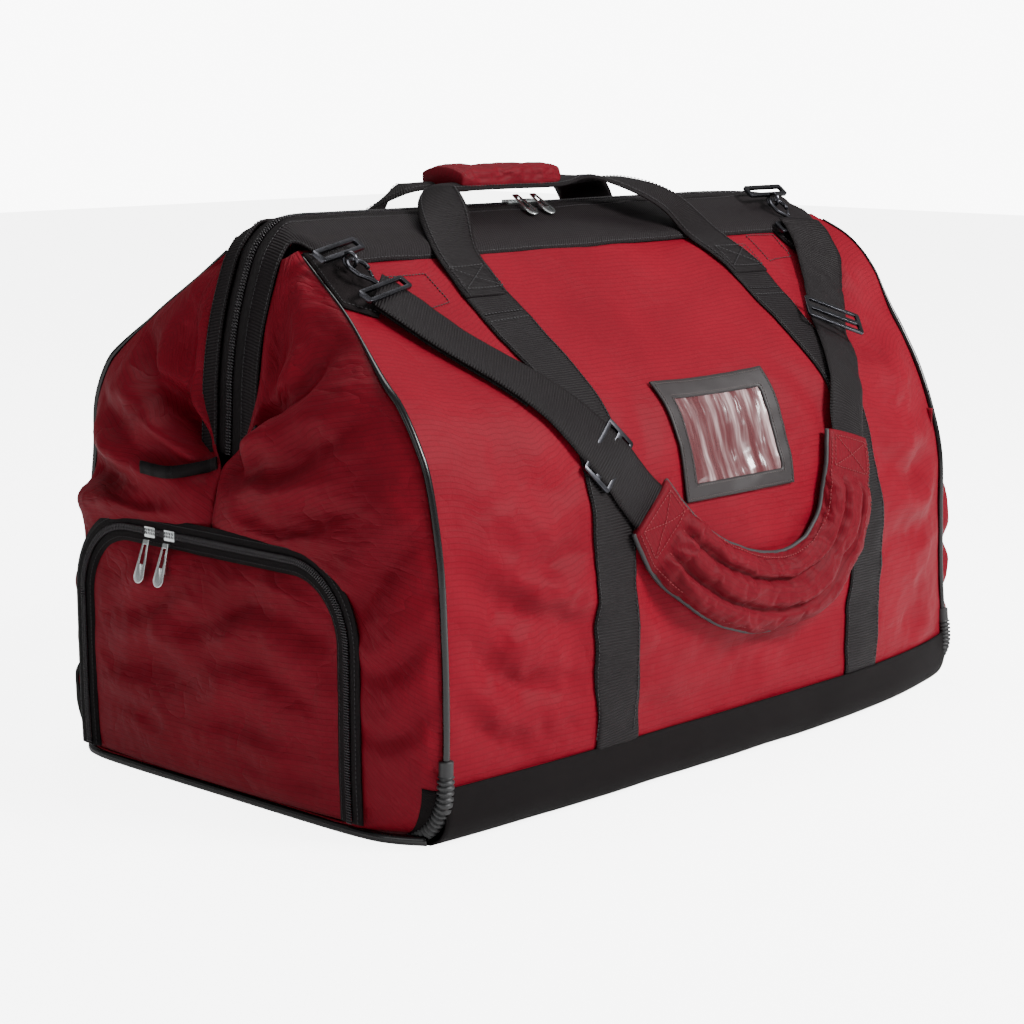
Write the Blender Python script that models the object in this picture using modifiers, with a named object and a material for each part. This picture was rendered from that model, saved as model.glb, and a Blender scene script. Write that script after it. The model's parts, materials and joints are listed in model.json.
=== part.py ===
"""Wide-mouth hockey equipment bag.

Metres, +Z up. The origin is the middle of the flat base, X runs along the bag's length and the front
faces -Y. Two steel mouth frames are hinged together on rivets at the bag's ends and carry the upper
half of the cloth body; the lower half is a tub with a zipped pocket on each end.
"""
import math

import bmesh
import bpy
from mathutils import Matrix, Vector

# Driving dimensions
HALF_LENGTH = 0.348          # body between the end seams, half
WALL_Y = 0.2415              # outer face of the front and rear walls
SPLIT_Z = 0.215              # the tub's walls end here and the mouth's cloth starts
BASE_BAND_Z = 0.050          # top of the black base band
BASE_ROUND = 0.047           # rounding of the base along its long edges
PIVOT_Z = 0.272              # axis of the mouth frames
RIDGE_Z = 0.460              # top of the closed zip
CLOTH = 0.0028               # lined cloth, two layers and padding
WEBBING = 0.0020
WEBBING_WIDTH = 0.050
GAP = 0.0004
STRAP_X = 0.170              # vertical webbing, from the middle
END_X = HALF_LENGTH + 0.0005  # inner face of an end panel
POCKET_X = HALF_LENGTH + 0.029  # an end pocket's zip, from the middle
POCKET_HALF = 0.160          # half width of the pocket's flap
POCKET_TOP = 0.206           # top of the pocket's flap
POCKET_FOOT = 0.012          # the flap's hinge line
POCKET_ROUND = 0.060
ROD_RADIUS = 0.003
RIVET_RADIUS = 0.003

# Outer face of the mouth's cloth from the split to the ridge: (y on the front, z, end's inset)
ROOF = [
    (-0.2345, 0.2158, 0.0055), (-0.2290, 0.250, 0.0055), (-0.2120, 0.300, 0.0055),
    (-0.1850, 0.332, 0.0060), (-0.1400, 0.366, 0.0120), (-0.0900, 0.402, 0.0230),
    (-0.0430, 0.436, 0.0380), (-0.0200, 0.450, 0.0500),
]
# The same face as the straps see it, over the step at the split: (z, y)
COVER = [
    (0.000, -0.2415), (0.217, -0.2415), (0.250, -0.2340), (0.300, -0.2140), (0.332, -0.1855),
    (0.366, -0.1405), (0.402, -0.0905), (0.436, -0.0435), (0.458, -0.0160), (0.480, 0.0100),
]
RIDGE_INSET = 0.060          # the ridge is straight this far from the end seams
# Inner edge of the mouth's zip from the fold at an end up to the ridge: (inset from the end, z)
MOUTH_LINE = [
    (0.0025, 0.281), (0.0110, 0.330), (0.0200, 0.380), (0.0285, 0.424), (0.0340, 0.444),
    (0.0440, 0.456), (RIDGE_INSET, RIDGE_Z), (0.160, RIDGE_Z), (0.260, RIDGE_Z),
]

COLOURS = {
    "red_cloth": ((0.36, 0.012, 0.025), 0.75, 0.0),
    "black_twill": ((0.018, 0.014, 0.015), 0.85, 0.0),
    "webbing": ((0.016, 0.014, 0.016), 0.70, 0.0),
    "nickel": ((0.72, 0.73, 0.74), 0.25, 1.0),
    "black_nickel": ((0.06, 0.06, 0.07), 0.30, 1.0),
    "steel": ((0.45, 0.45, 0.47), 0.40, 1.0),
    "board": ((0.05, 0.05, 0.055), 0.60, 0.0),
    "vinyl": ((0.05, 0.035, 0.035), 0.50, 0.0),
    "pvc": ((0.85, 0.82, 0.80), 0.10, 0.0),
    "piping": ((0.01, 0.01, 0.012), 0.25, 0.0),
}


def collection(name):
    made = bpy.data.collections.new(name)
    bpy.context.scene.collection.children.link(made)
    return made


def material(name, colour):
    rgb, roughness, metallic = COLOURS[colour]
    made = bpy.data.materials.new(name)
    made.use_nodes = True
    shader = made.node_tree.nodes["Principled BSDF"]
    shader.inputs["Base Color"].default_value = (*rgb, 1)
    shader.inputs["Roughness"].default_value = roughness
    shader.inputs["Metallic"].default_value = metallic
    return made


def add(name, data, colour, group="hockey_bag"):
    """An object of its own, with its own material, in the bag's collection."""
    data.materials.append(material(name, colour))
    made = bpy.data.objects.new(name, data)
    bpy.data.collections[group].objects.link(made)
    return made


def from_bmesh(name, shape, colour):
    mesh = bpy.data.meshes.new(name)
    shape.to_mesh(mesh)
    shape.free()
    return add(name, mesh, colour)


def hang_on(piece, empty_name, place):
    """Parent a moving piece to an empty on its joint's axis, leaving it where it is."""
    empty = bpy.data.objects.get(empty_name)
    if empty is None:
        empty = bpy.data.objects.new(empty_name, None)
        empty.location = place
        bpy.data.collections["hockey_bag"].objects.link(empty)
    piece.parent = empty
    piece.matrix_parent_inverse = Matrix.Translation(-empty.location)


def sheet(name, rows, thickness, outward, colour, closed=False):
    """Cloth or webbing: a strip swept through rows of points, thickened behind its outer face.

    outward is a direction that the outer face looks along. closed joins each row's ends.
    """
    shape = bmesh.new()
    line = [shape.verts.new(p) for p in rows[0]]
    edges = [shape.edges.new(pair) for pair in zip(line, line[1:])]
    if closed:
        edges.append(shape.edges.new((line[-1], line[0])))
    for row in rows[1:]:
        moved = bmesh.ops.extrude_edge_only(shape, edges=edges)["geom"]
        edges = [g for g in moved if isinstance(g, bmesh.types.BMEdge)]
        corners = [g for g in moved if isinstance(g, bmesh.types.BMVert)]
        for vertex, place in zip(ordered(corners, line), row):
            vertex.co = place
        line = ordered(corners, [Vector(p) for p in row], by_place=True)
    bmesh.ops.recalc_face_normals(shape, faces=shape.faces)
    shape.normal_update()
    facing = sum((f.normal * f.calc_area() for f in shape.faces), Vector())
    if callable(outward):
        first = shape.faces[:][0]
        wrong = first.normal.dot(outward(first.calc_center_median())) < 0
    else:
        wrong = facing.dot(Vector(outward)) < 0
    if wrong:
        bmesh.ops.reverse_faces(shape, faces=shape.faces)
    made = from_bmesh(name, shape, colour)
    shell = made.modifiers.new("thickness", "SOLIDIFY")
    shell.thickness = thickness
    shell.offset = -1
    shell.use_even_offset = True
    return made


def ordered(corners, line, by_place=False):
    """The new corners in the order of the line that they were extruded from."""
    result = []
    left = list(corners)
    for old in line:
        place = old if by_place else old.co
        near = min(left, key=lambda v: (v.co - place).length)
        left.remove(near)
        result.append(near)
    return result


def tube(name, points, radius, colour, closed=False, sides=2):
    curve = bpy.data.curves.new(name, "CURVE")
    curve.dimensions = "3D"
    curve.bevel_depth = radius
    curve.bevel_resolution = sides
    curve.use_fill_caps = not closed
    spline = curve.splines.new("POLY")
    spline.points.add(len(points) - 1)
    for point, place in zip(spline.points, points):
        point.co = (*place, 1)
    spline.use_cyclic_u = closed
    return add(name, curve, colour)


def to_mesh(curve_object):
    """The same object as a welded mesh, which a Boolean can use."""
    bpy.context.view_layer.update()
    evaluated = curve_object.evaluated_get(bpy.context.evaluated_depsgraph_get())
    mesh = bpy.data.meshes.new_from_object(evaluated)
    shape = bmesh.new()
    shape.from_mesh(mesh)
    bmesh.ops.remove_doubles(shape, verts=shape.verts, dist=0.00001)
    bmesh.ops.recalc_face_normals(shape, faces=shape.faces)
    shape.to_mesh(mesh)
    shape.free()
    name, place = curve_object.name, curve_object.matrix_world.copy()
    group = curve_object.users_collection[0]
    bpy.data.objects.remove(curve_object)
    made = bpy.data.objects.new(name, mesh)
    made.matrix_world = place
    group.objects.link(made)
    return made


def block(name, size, place, colour):
    shape = bmesh.new()
    bmesh.ops.create_cube(shape, size=1)
    bmesh.ops.scale(shape, vec=size, verts=shape.verts)
    made = from_bmesh(name, shape, colour)
    made.location = place
    return made


def disc(name, radius, length, place, axis, colour, sides=24):
    shape = bmesh.new()
    bmesh.ops.create_cone(
        shape, cap_ends=True, segments=sides, radius1=radius, radius2=radius, depth=length
    )
    made = from_bmesh(name, shape, colour)
    turn = Vector((0, 0, 1)).rotation_difference(Vector(axis)).to_matrix().to_4x4()
    made.matrix_world = Matrix.Translation(place) @ turn
    return made


def boolean(piece, other, operation):
    """Cut or join a piece, and keep the other shape as a hidden guide."""
    cut = piece.modifiers.new(operation.lower(), "BOOLEAN")
    cut.operation = operation
    cut.object = other
    other.hide_render = True
    other.display_type = "WIRE"
    for group in list(other.users_collection):
        group.objects.unlink(other)
    bpy.data.collections["cutters"].objects.link(other)


def plate(name, outlines, thickness, matrix, colour):
    """A flat piece from closed outlines in its own plane; the first is the rim, the rest are holes."""
    curve = bpy.data.curves.new(name, "CURVE")
    curve.dimensions = "2D"
    curve.fill_mode = "BOTH"
    curve.extrude = thickness / 2
    for outline in outlines:
        spline = curve.splines.new("POLY")
        spline.points.add(len(outline) - 1)
        for point, (u, v) in zip(spline.points, outline):
            point.co = (u, v, 0, 1)
        spline.use_cyclic_u = True
    made = add(name, curve, colour)
    made.matrix_world = matrix
    return made


def round_rectangle(width, height, radius, centre=(0, 0), steps=4):
    """Corner points of a rectangle with round corners."""
    points = []
    for corner, (sx, sy) in enumerate([(1, 1), (-1, 1), (-1, -1), (1, -1)]):
        for step in range(steps + 1):
            angle = math.pi / 2 * (corner + step / steps)
            points.append((
                centre[0] + sx * (width / 2 - radius) + radius * math.cos(angle),
                centre[1] + sy * (height / 2 - radius) + radius * math.sin(angle),
            ))
    return points


def circle(radius, centre=(0, 0), steps=16):
    turns = [2 * math.pi * n / steps for n in range(steps)]
    return [(centre[0] + radius * math.cos(a), centre[1] + radius * math.sin(a)) for a in turns]


def between(low, high, share):
    return low + (high - low) * share


def cover_y(z):
    """y of the front, as the straps see it, at a height."""
    for (z0, y0), (z1, y1) in zip(COVER, COVER[1:]):
        if z <= z1:
            return between(y0, y1, (z - z0) / (z1 - z0))
    return COVER[-1][1]


def cover_normal(z):
    step = 0.012
    rise = Vector((0, cover_y(z + step) - cover_y(z - step), 2 * step))
    return Vector((0, -rise.z, rise.y)).normalized()


def on_cover(face, x, z, lift):
    """A point on the front (face -1) or rear (face 1), lifted off the cloth."""
    place = Vector((x, cover_y(z), z)) + cover_normal(z) * lift
    return Vector((place.x, place.y * -face, place.z))


def smooth_route(points, pieces):
    """Catmull-Rom points through a hand-drawn route."""
    ends = [points[0]] + list(points) + [points[-1]]
    result = []
    for p0, p1, p2, p3 in zip(ends, ends[1:], ends[2:], ends[3:]):
        for step in range(pieces):
            t = step / pieces
            result.append(tuple(
                0.5 * (2 * b + (c - a) * t + (2 * a - 5 * b + 4 * c - d) * t * t
                       + (3 * b - a - 3 * c + d) * t ** 3)
                for a, b, c, d in zip(p0, p1, p2, p3)
            ))
    return result + [tuple(points[-1])]


def cover_strip(name, face, route, width, lift, thickness, colour, columns=2):
    """Webbing laid on the front or rear along a route of (x, z)."""
    rows = []
    last = len(route) - 1
    for n, (x, z) in enumerate(route):
        before, after = route[max(n - 1, 0)], route[min(n + 1, last)]
        along = on_cover(face, *after, 0) - on_cover(face, *before, 0)
        normal = cover_normal(z)
        normal = Vector((0, normal.y * -face, normal.z))
        across = along.cross(normal).normalized()
        middle = on_cover(face, x, z, lift + thickness)
        rows.append([
            middle + across * width * (column / (columns - 1) - 0.5) for column in range(columns)
        ])
    return sheet(name, rows, thickness, (0, face, 0.3), colour)


# ---------------------------------------------------------------- tub


def base_board():
    size = (2 * HALF_LENGTH - 0.030, 0.330, 0.004)
    block("base_board", size, (0, 0, CLOTH + GAP + size[2] / 2), "board")


def base_profile(offset):
    """Half of the tub's outline in (y, z), from the band's top down to the middle of the base."""
    points = [(-WALL_Y + offset, BASE_BAND_Z)]
    centre = (-WALL_Y + BASE_ROUND, BASE_ROUND)
    low = math.asin((BASE_ROUND - BASE_BAND_Z) / BASE_ROUND)
    for step in range(1, 9):
        angle = between(low, math.pi / 2, step / 8)
        reach = BASE_ROUND - offset
        points.append((centre[0] - reach * math.cos(angle), centre[1] - reach * math.sin(angle)))
    return points


def base_tub():
    half = base_profile(0)
    outline = half + [(-y, z) for y, z in reversed(half)]
    rows = [[(x, y, z) for y, z in outline] for x in (-HALF_LENGTH, HALF_LENGTH)]
    sheet("base_tub", rows, CLOTH, (0, 0, -1), "black_twill")


def wall(name, face):
    heights = (BASE_BAND_Z + GAP, SPLIT_Z)
    rows = [[(x, face * WALL_Y, z) for z in heights] for x in (-HALF_LENGTH, HALF_LENGTH)]
    sheet(name, rows, CLOTH, (0, face, 0), "red_cloth")


def end_outline(inset, top):
    """Half of an end panel's edge in (y, z), from the middle of the base round to the top."""
    centre = (-WALL_Y + BASE_ROUND, BASE_ROUND)
    reach = BASE_ROUND - inset
    points = []
    for step in range(7):
        angle = math.pi / 2 * (1 - step / 6)
        points.append((centre[0] - reach * math.cos(angle), centre[1] - reach * math.sin(angle)))
    return points + [(-WALL_Y + inset, top)]


def end_panel(name, side):
    half = end_outline(0.0002, 0.205) + [(-0.195, 0.232), (-0.120, 0.262), (-0.030, 0.286)]
    outline = half + [(-y, z) for y, z in reversed(half)]
    turn = Matrix(((0, 0, side, 0), (side, 0, 0, 0), (0, 1, 0, 0), (0, 0, 0, 1)))
    place = Matrix.Translation((side * (END_X + CLOTH / 2), 0, 0))
    plate(name, [outline], CLOTH, place @ turn, "red_cloth")


def arch(half_width, foot, top, radius, steps=5):
    """An inverted U in (y, z), from the front foot over to the rear foot."""
    points = [(-half_width, foot), (-half_width, between(foot, top - radius, 0.5))]
    for step in range(steps + 1):
        angle = math.pi / 2 * step / steps
        points.append((
            -half_width + radius - radius * math.cos(angle),
            top - radius + radius * math.sin(angle),
        ))
    points.append((-half_width / 3, top))
    return points + [(-y, z) for y, z in reversed(points)]


def pocket_wall(name, side):
    """The red gusset round an end pocket, from the end seam out to the zip."""
    outer = arch(WALL_Y - 0.010, POCKET_FOOT, 0.262, 0.110)
    outer[0], outer[-1] = (-0.205, POCKET_FOOT), (0.205, POCKET_FOOT)
    inner = arch(POCKET_HALF + 0.004, POCKET_FOOT, POCKET_TOP + 0.004, POCKET_ROUND)
    seam = END_X + CLOTH + 0.0032
    rows = []
    for share, bulge in ((0, 0), (0.3, 0.012), (0.65, 0.008), (1, 0)):
        rows.append([
            (side * (between(seam, POCKET_X, share) + bulge), between(y0, y1, share),
             between(z0, z1, share))
            for (y0, z0), (y1, z1) in zip(outer, inner)
        ])
    sheet(name, rows, CLOTH, (side, 0, 0), "red_cloth")


def pocket_flap(name, side):
    """The pocket's domed outer panel, which drops down about its foot once unzipped."""
    shoulder = POCKET_TOP - POCKET_ROUND
    heights = [between(POCKET_FOOT, shoulder, n / 3) for n in range(4)]
    heights += [shoulder + POCKET_ROUND * math.sin(math.radians(a)) for a in (18, 36, 54, 72, 86)]
    rows = []
    for z in heights:
        rise = max(z - shoulder, 0)
        half = POCKET_HALF - POCKET_ROUND + math.sqrt(POCKET_ROUND ** 2 - rise ** 2)
        climb = (z - POCKET_FOOT) / (POCKET_TOP - POCKET_FOOT)
        dome = 0.014 * (1 - abs(2 * climb - 0.9) ** 2 / 1.25)
        rows.append([
            (side * (POCKET_X + max(dome, 0) * (1 - share ** 2)), half * share, z)
            for share in (-1, -0.7, -0.35, 0, 0.35, 0.7, 1)
        ])
    flap = sheet(name, rows, CLOTH, (side, 0, 0), "red_cloth")
    hang_on(flap, name + "_hinge", (side * POCKET_X, 0, POCKET_FOOT))


def piping(name, side):
    """Cord sewn into the end seam, all the way round from ridge to ridge."""
    x = END_X + CLOTH + 0.0032
    half = [(x, y, z) for y, z in end_outline(0.0030, 0.200)]
    upper = [(0.0040, -0.2370, 0.230), (0.0010, -0.2320, 0.262), (0.0008, -0.2180, 0.302),
             (0.0000, -0.1905, 0.3365), (-0.0050, -0.1460, 0.3710), (-0.0165, -0.0960, 0.4070)]
    half += [(HALF_LENGTH + out, y, z) for out, y, z in upper]
    loop = [(-side_x, y, z) for side_x, y, z in reversed(half)]
    loop += [(-side_x, -y, z) for side_x, y, z in half]
    tube(name, [(-side * px, y, z) for px, y, z in loop], 0.0024, "piping", sides=1)


# ---------------------------------------------------------------- mouth


def roof(name, face):
    rows = [
        [(x * (HALF_LENGTH - inset), -face * y, z) for y, z, inset in ROOF] for x in (-1, 0, 1)
    ]
    return sheet(name, rows, CLOTH, (0, face, 0.5), "red_cloth")


def mouth_x(z):
    """Distance from the middle of the mouth's end line at a height."""
    line = MOUTH_LINE[:5]
    for (x0, z0), (x1, z1) in zip(line, line[1:]):
        if z <= z1:
            return HALF_LENGTH - between(x0, x1, (z - z0) / (z1 - z0))
    return HALF_LENGTH - line[-1][0]


def gusset(name, face, side):
    """Cloth between the roof's end seam and the zip at the bag's end."""
    rows = []
    for n, (y, z, inset) in enumerate(ROOF[:7]):
        inner_z = between(0.281, 0.430, n / 6)
        start = Vector((HALF_LENGTH - inset + GAP + CLOTH, y, z))
        stop = Vector((mouth_x(inner_z), -0.0340, inner_z))
        rows.append([
            (side * p.x, -face * p.y, p.z) for p in (start, start.lerp(stop, 0.5), stop)
        ])
    return sheet(name, rows, CLOTH * 0.9, (side, 0, 0.2), "red_cloth")


def mouth_path():
    """The whole U, from the left fold over the ridge to the right fold."""
    half = [(HALF_LENGTH - inset, z) for inset, z in MOUTH_LINE]
    return [(-x, z) for x, z in half] + [(0, RIDGE_Z)] + [(x, z) for x, z in reversed(half)]


def up_and_out(point):
    return Vector((point.x, 0, point.z - 0.2))


def mouth_zip(name, face):
    """One zip tape with its half of the coil."""
    rows = [
        [(x, face * 0.0006, z), (x, face * 0.0145, z)] for x, z in mouth_path()
    ]
    return sheet(name, rows, 0.0024, up_and_out, "black_twill")


def mouth_band(name, face):
    """The black band beside the zip: wide on the ridge, narrow down the ends."""
    rows = []
    for x, z in mouth_path():
        reach = min(max((abs(x) - HALF_LENGTH + RIDGE_INSET) / 0.030, 0), 1)
        side = math.copysign(1, x)
        inner = Vector((x, -0.0167, z))
        if z == RIDGE_Z and reach == 0:
            over = on_cover(-1, x, 0.436, 0.0030)
            outer = on_cover(-1, x, 0.424, 0.0030)
        else:
            over = Vector((x + side * 0.001, -0.0240, z - 0.006 * (1 - reach)))
            outer = Vector((x + side * 0.001, -0.0330, z - 0.014 * (1 - reach)))
        rows.append([(p.x, -face * p.y, p.z) for p in (inner, over, outer)])
    return sheet(name, rows, 0.0024, up_and_out, "webbing")


def mouth_frame(name, face):
    """A bent steel rod with a drilled lug on each end, inside the band's hem."""
    lug_x = HALF_LENGTH - (0.0185 if face < 0 else 0.0110)
    shoulder = HALF_LENGTH - (0.0520 if face < 0 else 0.0480)
    half = [
        (lug_x, 0.0075, 0.2775), (lug_x, 0.0110, 0.296),
        (between(lug_x, shoulder, 0.5), 0.0110, 0.370), (shoulder, 0.0110, 0.4300),
        (shoulder - 0.004, 0.0110, 0.4400), (shoulder - 0.014, 0.0110, 0.4450),
    ]
    points = [(-x, face * y, z) for x, y, z in half]
    points += [(x, face * y, z) for x, y, z in reversed(half)]
    frame = to_mesh(tube(name, points, ROD_RADIUS, "steel"))
    for side, word in ((-1, "left"), (1, "right")):
        place = (side * lug_x, 0, PIVOT_Z)
        lug = disc(f"{name}_{word}_lug", 0.013, 0.003, place, (1, 0, 0), "steel")
        boolean(frame, lug, "UNION")
    for side, word in ((-1, "left"), (1, "right")):
        place = (side * lug_x, 0, PIVOT_Z)
        hole = disc(f"{name}_{word}_hole", RIVET_RADIUS + 0.0003, 0.012, place, (1, 0, 0), "steel")
        boolean(frame, hole, "DIFFERENCE")
    return frame


def rivet(name, side):
    """A shouldered rivet through both frames' lugs, backed by the end panel."""
    profile = [(0, -0.0255), (0.006, -0.0255), (0.006, -0.0230), (RIVET_RADIUS, -0.0230),
               (RIVET_RADIUS, -0.0075), (0.007, -0.0075), (0.007, 0), (0, 0)]
    shape = bmesh.new()
    line = [shape.verts.new((r, 0, HALF_LENGTH + x)) for r, x in profile]
    edges = [shape.edges.new(pair) for pair in zip(line, line[1:])]
    bmesh.ops.spin(
        shape, geom=line + edges, cent=(0, 0, 0), axis=(0, 0, 1), angle=2 * math.pi, steps=20
    )
    bmesh.ops.remove_doubles(shape, verts=shape.verts, dist=0.00001)
    bmesh.ops.recalc_face_normals(shape, faces=shape.faces)
    made = from_bmesh(name, shape, "steel")
    turn = Vector((0, 0, 1)).rotation_difference(Vector((side, 0, 0))).to_matrix().to_4x4()
    made.matrix_world = Matrix.Translation((0, 0, PIVOT_Z)) @ turn


# ---------------------------------------------------------------- straps and handles


def vertical_strap(name, face, side):
    heights = [0.018 + 0.0105 * n for n in range(36)]
    route = [(side * STRAP_X, z) for z in heights if z <= 0.388]
    cover_strip(name, face, route[3:], WEBBING_WIDTH, GAP, WEBBING, "webbing")


GRIP_Z = 0.4815
GRIP_Y = 0.0160


def handle(name, face):
    """A webbing loop from strap to strap, folded narrow where the wrap holds it."""
    half_width = WEBBING_WIDTH / 2
    rows = []
    for z, shift, lift in ((0.393, 0, 0.0035), (0.410, 0.003, 0.0050), (0.426, 0.007, 0.0070)):
        middle = on_cover(-1, 0, z, lift)
        rows.append((Vector((shift - STRAP_X, middle.y, middle.z)), Vector((half_width, 0, 0))))
    rows += [
        (Vector((-0.158, -0.0440, 0.458)), Vector((0.021, -0.006, 0.002))),
        (Vector((-0.148, -0.0260, 0.4765)), Vector((0.010, -0.0105, 0.004))),
        (Vector((-0.133, -GRIP_Y, GRIP_Z)), Vector((0.000, -0.0100, 0.0))),
        (Vector((-0.065, -GRIP_Y, GRIP_Z)), Vector((0.000, -0.0100, 0.0))),
        (Vector((0.003, -GRIP_Y, GRIP_Z)), Vector((0.000, -0.0100, 0.0))),
        (Vector((0.040, -0.0180, 0.4835)), Vector((-0.004, -0.0120, 0.002))),
        (Vector((0.082, -0.0300, 0.4780)), Vector((-0.014, -0.0120, -0.004))),
        (Vector((0.120, -0.0500, 0.4600)), Vector((-0.020, -0.0100, -0.006))),
    ]
    for z, shift, lift in ((0.426, 0.016, 0.0070), (0.410, 0.005, 0.0050), (0.393, 0, 0.0035)):
        middle = on_cover(-1, 0, z, lift)
        rows.append((Vector((STRAP_X - shift, middle.y, middle.z)), Vector((-half_width, 0, 0))))
    edges = []
    for middle, across in rows:
        pair = (middle - across, middle + across)
        edges.append([(p.x, -face * p.y, p.z) for p in pair])
    made = sheet(name, edges, WEBBING, (0, 0, 1), "webbing")
    hang_on(made, name + "_hinge", on_cover(face, 0, 0.390, 0.003))


def handle_wrap():
    """A padded hook-and-loop sleeve that holds both handles together."""
    ring = round_rectangle(0.066, 0.0210, 0.0098, steps=4)
    rows = [
        [(x, y, z + GRIP_Z + 0.0035) for y, z in ring]
        for x in (-0.130, -0.065, 0.000)
    ]
    middle = Vector((0, 0, GRIP_Z + 0.0035))
    sheet("handle_wrap", rows, 0.0025, lambda p: Vector((0, p.y, p.z)) - middle, "red_cloth", True)


# Route of the shoulder strap over the front: (x, z) on the cloth
STRAP_LEFT = [(-0.274, 0.383), (-0.252, 0.366), (-0.215, 0.330), (-0.180, 0.292), (-0.150, 0.256)]
PAD_ROUTE = [(-0.118, 0.216), (-0.085, 0.185), (-0.042, 0.160), (0.010, 0.145), (0.052, 0.144),
             (0.092, 0.157), (0.122, 0.187), (0.137, 0.225), (0.147, 0.258)]
STRAP_RIGHT = [(0.160, 0.288), (0.182, 0.318), (0.215, 0.350), (0.252, 0.378), (0.280, 0.402),
               (0.289, 0.4200)]
SHOULDER_LIFT = 0.0050


def shoulder_strap():
    """One length of webbing from loop to loop, which runs behind the pad."""
    route = smooth_route(STRAP_LEFT + PAD_ROUTE + STRAP_RIGHT, 2)
    cover_strip(
        "shoulder_strap", -1, route, 0.046, SHOULDER_LIFT, WEBBING, "webbing"
    )


def shoulder_pad():
    route = smooth_route(PAD_ROUTE, 2)
    lift = SHOULDER_LIFT + WEBBING + 0.0020
    cover_strip("shoulder_pad", -1, route, 0.066, lift, 0.014, "red_cloth", columns=3)


def roof_frame(x, z, lift, turn_degrees=0):
    """A local frame on the front: u down the slope, v along the bag, w off the cloth."""
    w = cover_normal(z)
    v = Vector((1, 0, 0))
    u = v.cross(w).normalized()
    if u.z > 0:
        u = -u
    spin = Matrix.Rotation(math.radians(turn_degrees), 3, w)
    u, v = spin @ u, spin @ v
    place = on_cover(-1, x, z, lift)
    if u.cross(v).dot(w) < 0:
        v = -v
    return Matrix((
        (u.x, v.x, w.x, place.x), (u.y, v.y, w.y, place.y), (u.z, v.z, w.z, place.z), (0, 0, 0, 1)
    ))


def strap_hardware(word, x, z, turn):
    """Anchor ring, snap hook with its gate, and the loop that the shoulder strap is sewn to."""
    lift = 0.0125
    base = roof_frame(x, z, lift, turn)
    anchor = to_mesh(plate(
        f"{word}_anchor_ring",
        [round_rectangle(0.014, 0.056, 0.003), round_rectangle(0.006, 0.047, 0.001)],
        0.0030, base, "black_nickel",
    ))
    eye_u = 0.0125
    eye = tube(
        f"{word}_anchor_eye",
        [(eye_u + 0.0060 * math.cos(a), 0, 0.0060 * math.sin(a))
         for a in (2 * math.pi * n / 16 for n in range(16))],
        0.0016, "black_nickel", closed=True,
    )
    eye.matrix_world = base
    boolean(anchor, to_mesh(eye), "UNION")

    hook_centre = eye_u + 0.0090
    turns = [math.radians(a) for a in range(60, 271, 15)]
    route = [(hook_centre + 0.0090 * math.cos(a), 0.0090 * math.sin(a), 0) for a in turns]
    route += [(hook_centre + 0.0070, -0.0085, 0), (hook_centre + 0.0150, -0.0020, 0),
              (hook_centre + 0.0210, 0, 0)]
    hook = tube(f"{word}_snap_hook", route, 0.0020, "black_nickel")
    hook.matrix_world = base

    tip = (hook_centre + 0.0090 * math.cos(turns[0]), 0.0090 * math.sin(turns[0]), 0)
    foot = (hook_centre + 0.0135, 0.0022, 0)
    start = Vector(foot)
    reach = Vector(tip) - start
    stop = start + reach * 0.68
    gate_line = [start, start.lerp(stop, 0.5), stop]
    gate = tube(f"{word}_hook_gate", gate_line, 0.0013, "black_nickel", sides=1)
    gate.matrix_world = base
    hang_on_axis(gate, f"{word}_gate_pivot", base @ start)

    loop_centre = hook_centre + 0.0290
    loop_frame = base @ Matrix.Translation((loop_centre, 0, 0))
    plate(
        f"{word}_strap_loop",
        [round_rectangle(0.014, 0.058, 0.003), round_rectangle(0.007, 0.049, 0.001)],
        0.0030, loop_frame, "black_nickel",
    )


def hang_on_axis(piece, empty_name, place):
    """Parent a placed piece to an empty on its joint's axis, keeping its own turn."""
    world = piece.matrix_world.copy()
    empty = bpy.data.objects.new(empty_name, None)
    empty.location = place
    bpy.data.collections["hockey_bag"].objects.link(empty)
    piece.parent = empty
    piece.matrix_parent_inverse = Matrix.Translation(-Vector(place))
    piece.matrix_basis = world


def adjuster(name, x, z, turn):
    """A tri-glide: a frame with a middle bar, lying on the shoulder strap."""
    lift = SHOULDER_LIFT + WEBBING + 0.0020
    outlines = [round_rectangle(0.030, 0.058, 0.003)]
    for slot_u in (-0.0070, 0.0070):
        outlines.append(round_rectangle(0.0090, 0.050, 0.001, (slot_u, 0)))
    plate(name, outlines, 0.0025, roof_frame(x, z, lift, turn), "black_nickel")


# ---------------------------------------------------------------- window, sliders


def id_window():
    frame = roof_frame(0.003, 0.276, 0.0014)
    window = [round_rectangle(0.103, 0.145, 0.002), round_rectangle(0.074, 0.112, 0.001, (-0.004, 0))]
    plate("id_window_frame", window, 0.0020, frame, "vinyl")
    pane = [round_rectangle(0.0732, 0.1112, 0.001, (-0.004, 0))]
    plate("id_window_pane", pane, 0.0012, frame, "pvc")


def slider(name, frame):
    """A zip slider's body and bridge: u along the zip, v across it, w off it."""
    body = block(name, (0.0130, 0.0090, 0.0040), (0, 0, 0), "nickel")
    body.matrix_world = frame @ Matrix.Translation((0, 0, 0.0022))
    return body


def pull(name, frame, length=0.036):
    """A teardrop pull with a slot, hung from the slider: u runs down the pull."""
    narrow, wide = 0.0035, 0.0065
    rim = [(0.0, -narrow), (length - wide, -wide)]
    rim += [
        (length - wide + wide * math.sin(a), -wide * math.cos(a))
        for a in (math.pi * n / 8 for n in range(1, 8))
    ]
    rim += [(length - wide, wide), (0.0, narrow)]
    slot = [(0.0040, -0.0018), (0.0200, -0.0026), (0.0200, 0.0026), (0.0040, 0.0018)]
    made = plate(name, [rim, slot], 0.0016, Matrix.Identity(4), "nickel")
    made.matrix_world = frame
    return made


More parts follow.
